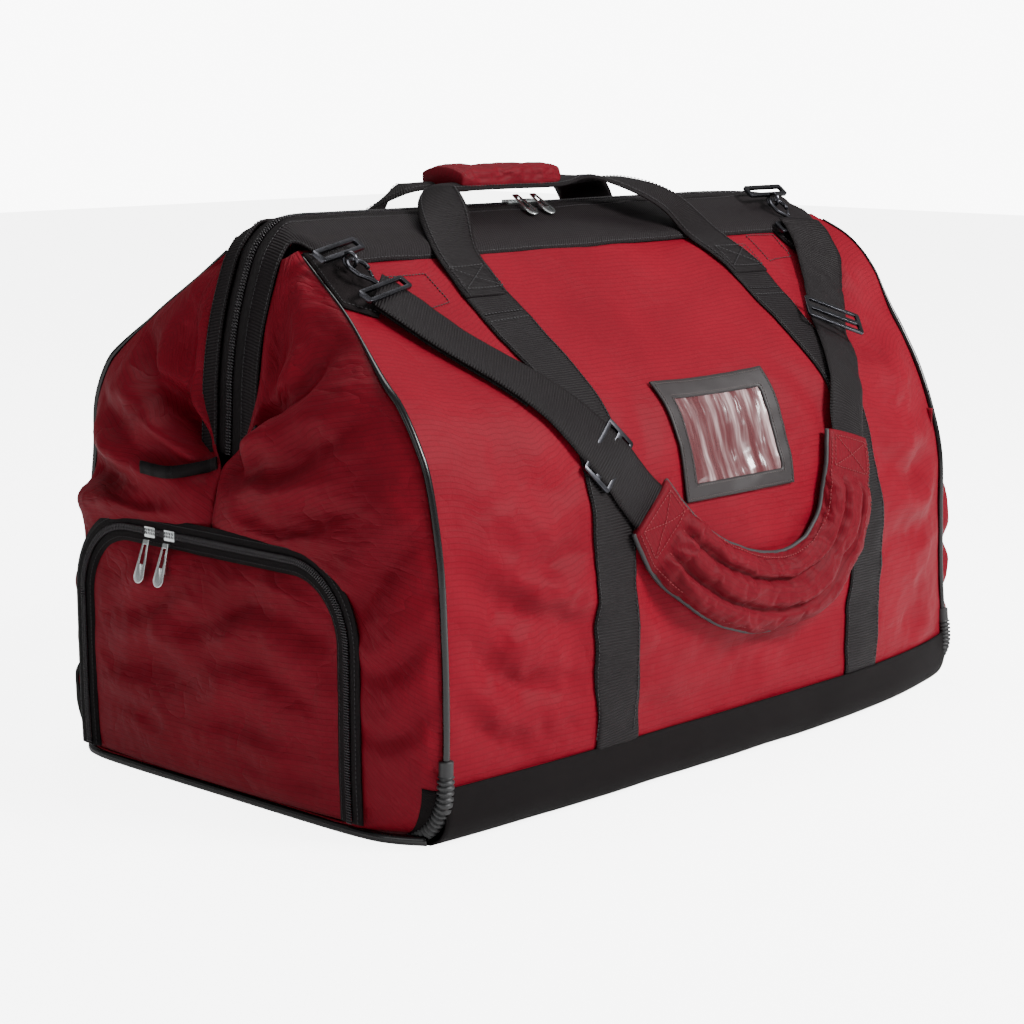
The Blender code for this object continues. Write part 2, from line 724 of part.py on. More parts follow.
def axes(place, u, w):
    u, w = Vector(u).normalized(), Vector(w).normalized()
    v = w.cross(u)
    return Matrix((
        (u.x, v.x, w.x, place[0]), (u.y, v.y, w.y, place[1]), (u.z, v.z, w.z, place[2]), (0, 0, 0, 1)
    ))


TOP_SLIDERS = {"left": -0.034, "right": -0.012}
POCKET_SLIDERS = {"front": 0.045, "rear": 0.070}


def top_sliders():
    for word, x in TOP_SLIDERS.items():
        name = f"top_{word}_slider"
        slider(name, axes((x, 0, RIDGE_Z + 0.0002), (1, 0, 0), (0, 0, 1)))
        hinge = Vector((x, -0.0055, RIDGE_Z + 0.0088))
        slope = Vector((0, -0.0260, -0.0165))
        pull_frame = axes(hinge, slope, Vector((0, -0.0165, 0.0260)))
        made = pull(f"top_{word}_pull", pull_frame, 0.030)
        hang_on_axis(made, f"top_{word}_pull_pivot", hinge)


def pocket_sliders(word, side):
    for end, y in POCKET_SLIDERS.items():
        x = side * (POCKET_X + 0.0018)
        z = POCKET_TOP + 0.0020
        slider(f"{word}_pocket_{end}_slider", axes((x, y, z), (0, 1, 0), (side, 0, 0)))
        hinge = Vector((side * (POCKET_X + 0.0076), y, z - 0.0058))
        made = pull(
            f"{word}_pocket_{end}_pull",
            axes(hinge + Vector((side * 0.0012, 0, 0)), (side * 0.30, 0, -1), (side, 0, 0.30)),
        )
        hang_on_axis(made, f"{word}_pocket_{end}_pull_pivot", hinge)


# ---------------------------------------------------------------- build

FACES = {"front": -1, "rear": 1}
SIDES = {"left": -1, "right": 1}
MOUTH_AXIS = (0, 0, PIVOT_Z)


def build():
    for old in list(bpy.data.objects):
        bpy.data.objects.remove(old)
    collection("hockey_bag")
    collection("cutters")
    base_board()
    base_tub()
    for side_word, side in SIDES.items():
        end_panel(f"{side_word}_end_panel", side)
        pocket_wall(f"{side_word}_pocket_wall", side)
        pocket_flap(f"{side_word}_pocket_flap", side)
        piping(f"{side_word}_piping", side)
        rivet(f"{side_word}_mouth_rivet", side)
        pocket_sliders(side_word, side)
    for face_word, face in FACES.items():
        wall(f"{face_word}_wall", face)
        moving = [
            roof(f"{face_word}_roof", face),
            mouth_zip(f"{face_word}_zip", face),
            mouth_band(f"{face_word}_band", face),
            mouth_frame(f"{face_word}_frame", face),
        ]
        for side_word, side in SIDES.items():
            moving.append(gusset(f"{face_word}_{side_word}_gusset", face, side))
            vertical_strap(f"{face_word}_{side_word}_strap", face, side)
        for piece in moving:
            hang_on(piece, f"{face_word}_mouth_hinge", MOUTH_AXIS)
        handle(f"{face_word}_handle", face)
    handle_wrap()
    shoulder_strap()
    shoulder_pad()
    id_window()
    top_sliders()
    strap_hardware("left", -0.294, 0.4270, 14)
    strap_hardware("right", 0.286, 0.4520, 0)
    adjuster("left_adjuster", -0.166, 0.275, 38)
    adjuster("right_adjuster", 0.215, 0.350, -35)


build()
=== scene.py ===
"""Looks of the hockey equipment bag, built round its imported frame. Metres, +Z up, front towards -Y."""
import json
import math

import bmesh
import bpy
import numpy as np
from mathutils import Matrix, Vector


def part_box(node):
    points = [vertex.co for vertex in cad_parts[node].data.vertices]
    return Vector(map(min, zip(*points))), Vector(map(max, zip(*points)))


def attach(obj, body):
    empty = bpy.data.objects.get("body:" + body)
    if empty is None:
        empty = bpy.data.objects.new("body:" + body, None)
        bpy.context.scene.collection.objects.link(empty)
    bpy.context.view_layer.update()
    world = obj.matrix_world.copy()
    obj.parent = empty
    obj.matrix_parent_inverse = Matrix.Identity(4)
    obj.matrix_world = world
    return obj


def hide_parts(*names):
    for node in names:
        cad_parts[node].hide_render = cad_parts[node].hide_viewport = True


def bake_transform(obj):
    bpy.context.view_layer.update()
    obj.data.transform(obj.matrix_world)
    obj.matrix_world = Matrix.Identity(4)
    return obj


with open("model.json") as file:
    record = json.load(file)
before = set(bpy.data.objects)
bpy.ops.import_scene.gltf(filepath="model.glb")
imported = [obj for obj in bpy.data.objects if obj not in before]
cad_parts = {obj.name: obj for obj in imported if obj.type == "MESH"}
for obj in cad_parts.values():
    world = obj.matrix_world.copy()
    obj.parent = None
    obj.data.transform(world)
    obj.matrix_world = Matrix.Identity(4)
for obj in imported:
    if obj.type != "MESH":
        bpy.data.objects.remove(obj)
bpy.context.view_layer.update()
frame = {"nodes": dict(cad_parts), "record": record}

# ------------------------------------------------------------------ sizes read from the frame

BASE_LOW, BASE_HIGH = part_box("base_tub")
HALF = BASE_HIGH[0]                       # half length between the end seams
WALL_Y = BASE_HIGH[1]                     # the front and rear walls' outer face
BAND_Z = BASE_HIGH[2]                     # top of the black base band
RIDGE_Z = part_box("front_zip")[1][2]       # top of the closed zip
FOLD_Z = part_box("front_zip")[0][2]        # lower ends of the mouth's zip
POCKET_LOW, POCKET_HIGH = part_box("right_pocket_flap")
POCKET_HALF = POCKET_HIGH[1]
POCKET_TOP = POCKET_HIGH[2]
POCKET_FOOT = POCKET_LOW[2]
POCKET_X = POCKET_LOW[0] + 0.0028         # the flap's rim
STRAP_X = (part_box("front_right_strap")[0][0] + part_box("front_right_strap")[1][0]) / 2

MOUTHS = {"front": -1, "rear": 1}
SIDES = {"left": -1, "right": 1}


# ------------------------------------------------------------------ camera, light and floor


def look_at(thing, target):
    thing.rotation_euler = (Vector(target) - thing.location).to_track_quat("-Z", "Y").to_euler()


def make_camera():
    data = bpy.data.cameras.new("camera")
    data.lens = 86.5
    data.sensor_width = 36
    camera = bpy.data.objects.new("camera", data)
    bpy.context.scene.collection.objects.link(camera)
    camera.location = (-1.595, -1.490, 0.576)
    pitch = math.radians(10.2)
    forward = Vector((0.724 * math.cos(pitch), 0.690 * math.cos(pitch), -math.sin(pitch)))
    look_at(camera, camera.location + forward)
    bpy.context.scene.camera = camera


def make_area_light(name, place, target, size, power):
    data = bpy.data.lights.new(name, "AREA")
    data.energy = power
    data.shape = "RECTANGLE"
    data.size, data.size_y = size
    light = bpy.data.objects.new(name, data)
    light.location = place
    bpy.context.scene.collection.objects.link(light)
    look_at(light, target)


def make_studio():
    world = bpy.data.worlds.new("studio")
    world.use_nodes = True
    background = world.node_tree.nodes["Background"]
    background.inputs["Color"].default_value = (1, 1, 1, 1)
    rays = world.node_tree.nodes.new("ShaderNodeLightPath")
    strength = world.node_tree.nodes.new("ShaderNodeMath")
    strength.operation = "MULTIPLY_ADD"
    strength.inputs[1].default_value = 9.0
    strength.inputs[2].default_value = 0.24
    world.node_tree.links.new(rays.outputs["Is Camera Ray"], strength.inputs[0])
    world.node_tree.links.new(strength.outputs[0], background.inputs["Strength"])
    bpy.context.scene.world = world
    make_area_light("key", (0.9, -2.3, 2.0), (0, 0, 0.2), (1.1, 0.8), 152)
    make_area_light("fill", (-2.6, -0.4, 1.2), (0, 0, 0.2), (1.2, 1.0), 9)
    make_area_light("top", (0.2, 0.4, 2.6), (0, 0, 0.2), (1.6, 1.2), 38)
    bpy.ops.mesh.primitive_plane_add(size=14, location=(0, 0, -0.0006))
    floor = bpy.context.object
    floor.name = "floor"
    paint = bpy.data.materials.new("floor")
    paint.use_nodes = True
    shader = paint.node_tree.nodes["Principled BSDF"]
    shader.inputs["Base Color"].default_value = (0.96, 0.96, 0.96, 1)
    shader.inputs["Roughness"].default_value = 0.9
    shader.inputs["Emission Color"].default_value = (1, 1, 1, 1)
    rays = paint.node_tree.nodes.new("ShaderNodeLightPath")
    glow = paint.node_tree.nodes.new("ShaderNodeMath")
    glow.operation = "MULTIPLY_ADD"
    glow.inputs[1].default_value = 5.6
    glow.inputs[2].default_value = 0.25
    paint.node_tree.links.new(rays.outputs["Is Camera Ray"], glow.inputs[0])
    paint.node_tree.links.new(glow.outputs[0], shader.inputs["Emission Strength"])
    floor.data.materials.append(paint)


# ------------------------------------------------------------------ materials


class Nodes:
    """A short way to write a node tree."""

    def __init__(self, name, roughness, metallic=0.0, specular=0.5):
        self.material = bpy.data.materials.new(name)
        self.material.use_nodes = True
        self.tree = self.material.node_tree
        self.shader = self.tree.nodes["Principled BSDF"]
        self.shader.inputs["Roughness"].default_value = roughness
        self.shader.inputs["Metallic"].default_value = metallic
        self.shader.inputs["Specular IOR Level"].default_value = specular

    def node(self, kind, **values):
        made = self.tree.nodes.new(kind)
        for key, value in values.items():
            if hasattr(made, key):
                setattr(made, key, value)
            else:
                made.inputs[key.replace("_", " ")].default_value = value
        return made

    def link(self, output, target):
        self.tree.links.new(output, target)
        return target

    def math(self, operation, a, b=0.0, c=0.0):
        made = self.node("ShaderNodeMath", operation=operation)
        for socket, value in zip(made.inputs, (a, b, c)):
            if isinstance(value, (int, float)):
                socket.default_value = value
            else:
                self.link(value, socket)
        return made.outputs[0]

    def flat(self):
        """Position on the cloth in metres, from the piece's own UV map."""
        return self.node("ShaderNodeUVMap", uv_map="metres").outputs[0]

    def solid(self):
        return self.node("ShaderNodeTexCoord").outputs["Object"]

    def scaled(self, vector, scale):
        made = self.node("ShaderNodeMapping")
        made.inputs["Scale"].default_value = scale
        self.link(vector, made.inputs["Vector"])
        return made.outputs[0]

    def parts(self, vector):
        made = self.node("ShaderNodeSeparateXYZ")
        self.link(vector, made.inputs[0])
        return made.outputs

    def noise(self, vector, scale, detail=3.0, roughness=0.55):
        made = self.node("ShaderNodeTexNoise")
        made.inputs["Scale"].default_value = scale
        made.inputs["Detail"].default_value = detail
        made.inputs["Roughness"].default_value = roughness
        self.link(vector, made.inputs["Vector"])
        return made.outputs["Fac"]

    def wave(self, coordinate, pitch):
        """0 to 1, one hump each pitch along the coordinate."""
        turns = self.math("MULTIPLY", coordinate, 2 * math.pi / pitch)
        return self.math("MULTIPLY_ADD", self.math("SINE", turns), 0.5, 0.5)

    def spikes(self, coordinate, pitch, sharpness):
        """0 to 1, one thin line each pitch."""
        return self.math("POWER", self.wave(coordinate, pitch), sharpness)

    def ramp(self, factor, stops):
        made = self.node("ShaderNodeValToRGB")
        elements = made.color_ramp.elements
        while len(elements) < len(stops):
            elements.new(0.5)
        for element, (place, colour) in zip(elements, stops):
            element.position = place
            element.color = (*colour, 1)
        self.link(factor, made.inputs[0])
        return made.outputs[0]

    def mix(self, factor, a, b):
        made = self.node("ShaderNodeMix", data_type="RGBA")
        for socket, value in ((made.inputs[0], factor), (made.inputs[6], a), (made.inputs[7], b)):
            if isinstance(value, (int, float)):
                socket.default_value = value
            elif isinstance(value, tuple):
                socket.default_value = (*value, 1)
            else:
                self.link(value, socket)
        return made.outputs[2]

    def colour(self, value):
        if isinstance(value, tuple):
            self.shader.inputs["Base Color"].default_value = (*value, 1)
        else:
            self.link(value, self.shader.inputs["Base Color"])

    def roughness(self, output):
        self.link(output, self.shader.inputs["Roughness"])

    def bump(self, height, distance, strength=1.0, under=None):
        made = self.node("ShaderNodeBump")
        made.inputs["Distance"].default_value = distance
        made.inputs["Strength"].default_value = strength
        self.link(height, made.inputs["Height"])
        if under is not None:
            self.link(under, made.inputs["Normal"])
        return made.outputs[0]

    def normal(self, output):
        self.link(output, self.shader.inputs["Normal"])


def ripstop(name, tone_and_shade=1.0, crease=0.35):
    """Crimson nylon with a fine weave and raised rip threads every few millimetres."""
    n = Nodes(name, 0.66, specular=0.12)
    n.shader.inputs["Sheen Weight"].default_value = 0.02
    n.shader.inputs["Sheen Roughness"].default_value = 0.5
    n.shader.inputs["Sheen Tint"].default_value = (1.0, 0.45, 0.45, 1)
    flat = n.flat()
    u, v, _ = n.parts(flat)
    across = n.spikes(v, 0.0046, 10)
    along = n.spikes(u, 0.0046, 14)
    threads = n.math("MAXIMUM", across, n.math("MULTIPLY", along, 0.35))
    weave = n.math("MULTIPLY", n.wave(u, 0.00075), n.wave(v, 0.00075))
    cloud = n.noise(flat, 9.0, 4.0)
    grain = n.noise(n.scaled(flat, (900, 1500, 1)), 1.0, 2.0)
    # tone_and_shade scales all of the nylon's colours; the end cloth's lower value is painted shade
    deep = (0.135 * tone_and_shade, 0.0004 * tone_and_shade, 0.0072 * tone_and_shade)
    lit = (0.225 * tone_and_shade, 0.0008 * tone_and_shade, 0.0125 * tone_and_shade)
    base = n.ramp(n.math("MULTIPLY_ADD", grain, 0.35, n.math("MULTIPLY", cloud, 0.75)),
                  [(0.25, deep), (0.85, lit)])
    n.colour(n.mix(n.math("MULTIPLY", threads, 0.38), base, (0.080 * tone_and_shade, 0.0006, 0.0040)))
    n.roughness(n.math("MULTIPLY_ADD", grain, 0.22, 0.50))
    fine = n.bump(weave, 0.00012, 0.35)
    crumple = n.bump(n.noise(n.scaled(flat, (1, 1.6, 1)), 34.0, 5.0), 0.0016, 0.5, fine)
    folds = n.noise(n.scaled(flat, (1, 1.35, 1)), 11.0, 3.0, 0.5)
    sharp = n.math("POWER", n.math("ABSOLUTE", n.math("SUBTRACT", folds, 0.5)), 0.7)
    crisp = n.bump(sharp, 0.010, crease, crumple)
    n.normal(n.bump(threads, 0.00016, 0.5, crisp))
    return n.material


def webbing(name, pitch, level=0.0044, along="u"):
    """Black ribbed polypropylene webbing, with the ribs across its length."""
    n = Nodes(name, 0.62, specular=0.16)
    flat = n.flat()
    u, v, _ = n.parts(flat)
    run, over = (v, u) if along == "v" else (u, v)
    ribs = n.wave(run, pitch)
    yarn = n.wave(over, 0.0011)
    grain = n.noise(n.scaled(flat, (1500, 1500, 1)), 1.0, 2.0)
    shade = n.math("MULTIPLY_ADD", ribs, 0.55, n.math("MULTIPLY", grain, 0.45))
    dark = (level * 0.50, level * 0.30, level * 0.36)
    pale = (level * 2.3, level * 1.55, level * 1.75)
    n.colour(n.ramp(shade, [(0.10, dark), (0.95, pale)]))
    n.roughness(n.math("MULTIPLY_ADD", grain, 0.25, 0.42))
    weave = n.bump(n.math("MULTIPLY", ribs, n.math("MULTIPLY_ADD", yarn, 0.5, 0.5)), 0.00055, 0.9)
    n.normal(weave)
    return n.material


def twill(name, level=0.0034):
    """Heavy black-brown twill with a diagonal rib."""
    n = Nodes(name, 0.78, specular=0.12)
    flat = n.flat()
    u, v, _ = n.parts(flat)
    diagonal = n.math("ADD", u, n.math("MULTIPLY", v, 0.8))
    ribs = n.wave(diagonal, 0.0013)
    grain = n.noise(n.scaled(flat, (1200, 1200, 1)), 1.0, 2.0)
    cloud = n.noise(flat, 14.0, 3.0)
    shade = n.math("MULTIPLY_ADD", cloud, 0.4, n.math("MULTIPLY", n.math("ADD", ribs, grain), 0.3))
    n.colour(n.ramp(shade, [
        (0.15, (level * 0.55, level * 0.34, level * 0.37)), (0.9, (level * 2.2, level * 1.5, level * 1.6))
    ]))
    n.normal(n.bump(ribs, 0.00035, 0.7, n.bump(cloud, 0.002, 0.3)))
    return n.material


def metal(name, colour, roughness, wear=0.15):
    n = Nodes(name, roughness, metallic=1.0)
    flat = n.solid()
    smudge = n.noise(flat, 60.0, 4.0)
    n.colour(n.ramp(smudge, [
        (0.3, tuple(c * (1 - wear) for c in colour)), (0.7, colour)
    ]))
    n.roughness(n.math("MULTIPLY_ADD", smudge, 0.22, roughness - 0.06))
    n.normal(n.bump(n.noise(flat, 350.0, 2.0), 0.00006, 0.25))
    return n.material


def plastic(name, colour, roughness, grain=0.0, coat=0.0):
    n = Nodes(name, roughness)
    flat = n.solid()
    cloud = n.noise(flat, 35.0, 3.0)
    n.colour(n.ramp(cloud, [(0.3, tuple(c * 0.75 for c in colour)), (0.7, colour)]))
    n.shader.inputs["Coat Weight"].default_value = coat
    n.roughness(n.math("MULTIPLY_ADD", cloud, 0.15, roughness - 0.05))
    if grain:
        n.normal(n.bump(n.noise(flat, 900.0, 3.0), grain, 0.6))
    return n.material


def clear_film(name):
    """Creased clear PVC over a pale lining, with vertical bands of glare painted pale into its colour."""
    n = Nodes(name, 0.10, specular=0.6)
    flat = n.flat()
    glare_streaks = n.noise(n.scaled(flat, (75, 9, 1)), 1.0, 3.0)
    sharp = n.math("POWER", n.math("MULTIPLY", glare_streaks, 1.62), 9.0)
    sharp = n.math("MINIMUM", sharp, 1.0)
    # the pale colour in the streaks is painted glare, a painted reflection on the film
    n.colour(n.mix(sharp, (0.085, 0.016, 0.019), (0.42, 0.30, 0.30)))
    n.shader.inputs["Coat Weight"].default_value = 0.7
    n.shader.inputs["Coat Roughness"].default_value = 0.06
    n.roughness(n.math("MULTIPLY_ADD", glare_streaks, 0.3, 0.08))
    n.normal(n.bump(n.noise(n.scaled(flat, (60, 14, 1)), 1.0, 3.0), 0.004, 0.7))
    return n.material


def make_materials():
    return {
        "red": ripstop("red_ripstop", 0.98, 0.26),
        # the end cloth is the same nylon at 0.82 of its value: painted shade on the ends
        "red_painted_shade_end": ripstop("red_painted_shade_end_cloth", 0.82, 0.55),
        "red_pad": ripstop("red_pad_cloth", 0.66, 0.15),
        "strap": webbing("strap_webbing", 0.0024),
        "handle": webbing("handle_webbing", 0.0017),
        "band": webbing("band_webbing", 0.0026, 0.0055),
        "twill": twill("base_twill"),
        "tab": twill("tab_twill", 0.0062),
        "tape": webbing("zip_tape", 0.0009, 0.0045),
        "coil": plastic("zip_coil", (0.012, 0.008, 0.011), 0.28, coat=0.3),
        "piping": plastic("glossy_piping", (0.004, 0.0035, 0.004), 0.24),
        "rubber": plastic("corrugated_rubber", (0.017, 0.017, 0.018), 0.50, 0.0002),
        "vinyl": plastic("window_vinyl", (0.0115, 0.0068, 0.0074), 0.55, 0.0003),
        "film": clear_film("clear_film"),
        "nickel": metal("bright_nickel", (0.80, 0.84, 0.84), 0.20),
        "black_nickel": metal("black_nickel", (0.075, 0.075, 0.085), 0.24),
        "steel": metal("plated_steel", (0.50, 0.50, 0.52), 0.35),
        "thread": plastic("black_thread", (0.02, 0.018, 0.02), 0.6),
        "pale_thread": plastic("pale_thread", (0.075, 0.058, 0.055), 0.6),
        "red_thread": plastic("red_thread", (0.20, 0.006, 0.012), 0.6),
        "lining": plastic("board_cover", (0.03, 0.03, 0.032), 0.7, 0.0004),
    }


# ------------------------------------------------------------------ curves, noise and creases


def smooth_curve(points, count=600):
    """Dense Catmull-Rom points through rows of numbers, evenly spaced along their length."""
    p = np.array(points, float)
    q = np.vstack([2 * p[0] - p[1], p, 2 * p[-1] - p[-2]])
    t = np.linspace(0, 1, 24, endpoint=False)[:, None]
    out = []
    for a, b, c, d in zip(q, q[1:], q[2:], q[3:]):
        out.append(0.5 * (2 * b + (c - a) * t + (2 * a - 5 * b + 4 * c - d) * t ** 2
                          + (3 * b - a - 3 * c + d) * t ** 3))
    out = np.vstack([*out, p[-1:]])
    run = np.r_[0, np.cumsum(np.linalg.norm(np.diff(out, axis=0), axis=1))]
    even = np.linspace(0, run[-1], count)
    return np.stack([np.interp(even, run, out[:, k]) for k in range(out.shape[1])], 1)


def at(curve, share):
    """Rows of a dense curve at shares of its length."""
    place = np.clip(np.asarray(share, float), 0, 1) * (len(curve) - 1)
    low = np.minimum(place.astype(int), len(curve) - 2)
    part = (place - low)[..., None]
    return curve[low] * (1 - part) + curve[low + 1] * part


def value_noise(x, y, seed):
    """Smooth noise from -1 to 1, one cell to the unit."""
    table = np.random.default_rng(seed).uniform(-1, 1, (64, 64))
    xi, yi = np.floor(x).astype(int), np.floor(y).astype(int)
    fx, fy = x - xi, y - yi
    fx, fy = fx * fx * (3 - 2 * fx), fy * fy * (3 - 2 * fy)
    a, b = table[xi % 64, yi % 64], table[(xi + 1) % 64, yi % 64]
    c, d = table[xi % 64, (yi + 1) % 64], table[(xi + 1) % 64, (yi + 1) % 64]
    return (a * (1 - fx) + b * fx) * (1 - fy) + (c * (1 - fx) + d * fx) * fy


def ridged(x, y, seed, octaves=3):
    """Sharp-crested folds, 0 to 1."""
    total, weight, size = 0.0, 0.0, 1.0
    for octave in range(octaves):
        total = total + size * (1 - np.abs(value_noise(x * 2 ** octave, y * 2 ** octave, seed + octave)))
        weight += size
        size *= 0.5
    return total / weight


def crease_depth(a, b, creases):
    """How far creases push each point in: each crease is (points, width, depth)."""
    total = np.zeros_like(a)
    for points, width, depth in creases:
        line = smooth_curve(points, 40)
        distance = np.full(a.shape, 1e9)
        share = np.zeros(a.shape)
        for n, (p, q) in enumerate(zip(line, line[1:])):
            d = q - p
            t = np.clip(((a - p[0]) * d[0] + (b - p[1]) * d[1]) / max(d @ d, 1e-12), 0, 1)
            far = np.hypot(a - p[0] - t * d[0], b - p[1] - t * d[1])
            near = far < distance
            distance = np.where(near, far, distance)
            share = np.where(near, (n + t) / (len(line) - 1), share)
        fade = np.sin(np.pi * np.clip(share * 0.92 + 0.04, 0, 1)) ** 0.6
        valley = np.exp(-0.5 * (distance / width) ** 2)
        lip = np.exp(-0.5 * ((distance - 2.1 * width) / (1.1 * width)) ** 2)
        total += depth * fade * (valley - 0.42 * lip)
    return total


# ------------------------------------------------------------------ mesh helpers


def normals_of(grid):
    du = np.gradient(grid, axis=0)
    dv = np.gradient(grid, axis=1)
    n = np.cross(du, dv)
    return n / np.maximum(np.linalg.norm(n, axis=-1, keepdims=True), 1e-12)


def outward_normals(grid, centre=(0, 0, 0.2)):
    n = normals_of(grid)
    if np.sum(n * (grid - np.array(centre))) < 0:
        n = -n
    return n


def link(piece):
    bpy.context.scene.collection.objects.link(piece)
    return piece


def grid_piece(name, grid, material, thickness=0.0, centre=(0, 0, 0.2), ring=False):
    """A piece from a grid of points, with its UV map in metres and its faces away from centre."""
    nu, nv = grid.shape[:2]
    mesh = bpy.data.meshes.new(name)
    last = nv if ring else nv - 1
    index = np.arange(nu * nv).reshape(nu, nv)
    faces = [
        (index[i, j], index[i + 1, j], index[i + 1, (j + 1) % nv], index[i, (j + 1) % nv])
        for i in range(nu - 1) for j in range(last)
    ]
    flat_normal = normals_of(grid)
    if np.sum(flat_normal * (grid - np.array(centre))) < 0:
        faces = [f[::-1] for f in faces]
    mesh.from_pydata(grid.reshape(-1, 3).tolist(), [], [tuple(int(k) for k in f) for f in faces])
    run_u = np.zeros((nu, nv))
    run_v = np.zeros((nu, nv))
    run_u[1:] = np.cumsum(np.linalg.norm(np.diff(grid, axis=0), axis=-1), axis=0)
    run_v[:, 1:] = np.cumsum(np.linalg.norm(np.diff(grid, axis=1), axis=-1), axis=1)
    uv = np.stack([run_u, run_v], -1).reshape(-1, 2)
    layer = mesh.uv_layers.new(name="metres")
    loops = np.zeros(len(mesh.loops), dtype=int)
    mesh.loops.foreach_get("vertex_index", loops)
    layer.data.foreach_set("uv", uv[loops].ravel())
    mesh.materials.append(material)
    mesh.shade_smooth()
    piece = link(bpy.data.objects.new(name, mesh))
    if thickness:
        shell = piece.modifiers.new("thickness", "SOLIDIFY")
        shell.thickness = thickness
        shell.offset = -1
    return piece


def tube_piece(name, points, radius, material, sides=10, closed=False):
    """A round tube swept along points, as a mesh."""
    p = np.array(points, float)
    ahead = np.roll(p, -1, 0) - np.roll(p, 1, 0)
    if not closed:
        ahead[0], ahead[-1] = p[1] - p[0], p[-1] - p[-2]
    ahead /= np.linalg.norm(ahead, axis=1, keepdims=True)
    side = np.cross(ahead[0], (0.31, 0.17, 0.93))
    side /= np.linalg.norm(side)
    rings = []
    radii = np.broadcast_to(radius, len(p))
    for place, direction, r in zip(p, ahead, radii):
        side = side - direction * (side @ direction)
        side /= np.linalg.norm(side)
        up = np.cross(direction, side)
        angles = 2 * np.pi * np.arange(sides) / sides
        rings.append(place + r * (np.cos(angles)[:, None] * side + np.sin(angles)[:, None] * up))
    mesh = bpy.data.meshes.new(name)
    count = len(p)
    faces = []
    for i in range(count if closed else count - 1):
        for j in range(sides):
            a, b = i * sides, (i + 1) % count * sides
            faces.append((a + j, b + j, b + (j + 1) % sides, a + (j + 1) % sides))
    if not closed:
        faces.append(tuple(range(sides)))
        faces.append(tuple((count - 1) * sides + j for j in reversed(range(sides))))
    mesh.from_pydata(np.vstack(rings).tolist(), [], faces)
    mesh.uv_layers.new(name="metres")
    mesh.materials.append(material)
    mesh.shade_smooth()
    shape = bmesh.new()
    shape.from_mesh(mesh)
    bmesh.ops.recalc_face_normals(shape, faces=shape.faces)
    shape.to_mesh(mesh)
    shape.free()
    return link(bpy.data.objects.new(name, mesh))


def joined(name, pieces):
    """Several meshes as one piece."""
    bpy.ops.object.select_all(action="DESELECT")
    for piece in pieces:
        for modifier in list(piece.modifiers):
            bpy.context.view_layer.objects.active = piece
            bpy.ops.object.modifier_apply(modifier=modifier.name)
    for piece in pieces:
        piece.select_set(True)
    bpy.context.view_layer.objects.active = pieces[0]
    bpy.ops.object.join()
    pieces[0].name = pieces[0].data.name = name
    return pieces[0]


def bend(piece):
    """Bakes the piece's placement into its mesh."""
    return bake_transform(piece)


# ------------------------------------------------------------------ the bag's cloth

# The long panels' line at mid length, from the base band up to the ridge band: (y, z)
MIDDLE = smooth_curve([
    (-0.2395, 0.038), (-0.2435, 0.100), (-0.2445, 0.160), (-0.2415, 0.205), (-0.2330, 0.250),
    (-0.2140, 0.300), (-0.1855, 0.332), (-0.1410, 0.366), (-0.0915, 0.402), (-0.0440, 0.4355),
])
# The end seam, the same way: (y, z, inset from the end)
SEAM_FIRM = smooth_curve([
    (-0.2335, 0.038, 0.0), (-0.2345, 0.100, 0.0), (-0.2330, 0.160, 0.0), (-0.2290, 0.218, 0.0),
    (-0.2180, 0.275, 0.0), (-0.2060, 0.303, 0.0), (-0.1870, 0.330, 0.001), (-0.1660, 0.347, 0.004),
    (-0.1120, 0.387, 0.021), (-0.0700, 0.414, 0.030), (-0.0360, 0.436, 0.036),
])
SEAM_SLACK = smooth_curve([
    (-0.2050, 0.038, 0.0), (-0.1990, 0.100, 0.0), (-0.1965, 0.160, 0.0), (-0.1940, 0.218, 0.0),
    (-0.1820, 0.262, 0.0), (-0.1660, 0.300, 0.0), (-0.1500, 0.328, 0.001), (-0.1370, 0.350, 0.002),
    (-0.1180, 0.388, 0.003), (-0.0880, 0.418, 0.004), (-0.0450, 0.4385, 0.006),
])
SEAM_REAR = smooth_curve([
    (-0.2080, 0.038, 0.0), (-0.1920, 0.100, 0.0), (-0.1860, 0.160, 0.0), (-0.1860, 0.218, 0.0),
    (-0.1800, 0.262, 0.0), (-0.1770, 0.300, 0.0), (-0.1640, 0.330, 0.001), (-0.1470, 0.350, 0.004),
    (-0.1060, 0.383, 0.012), (-0.0680, 0.410, 0.020), (-0.0360, 0.434, 0.026),
])
SEAMS = {("front", -1): SEAM_FIRM, ("front", 1): SEAM_SLACK,
         ("rear", -1): SEAM_REAR, ("rear", 1): SEAM_REAR}

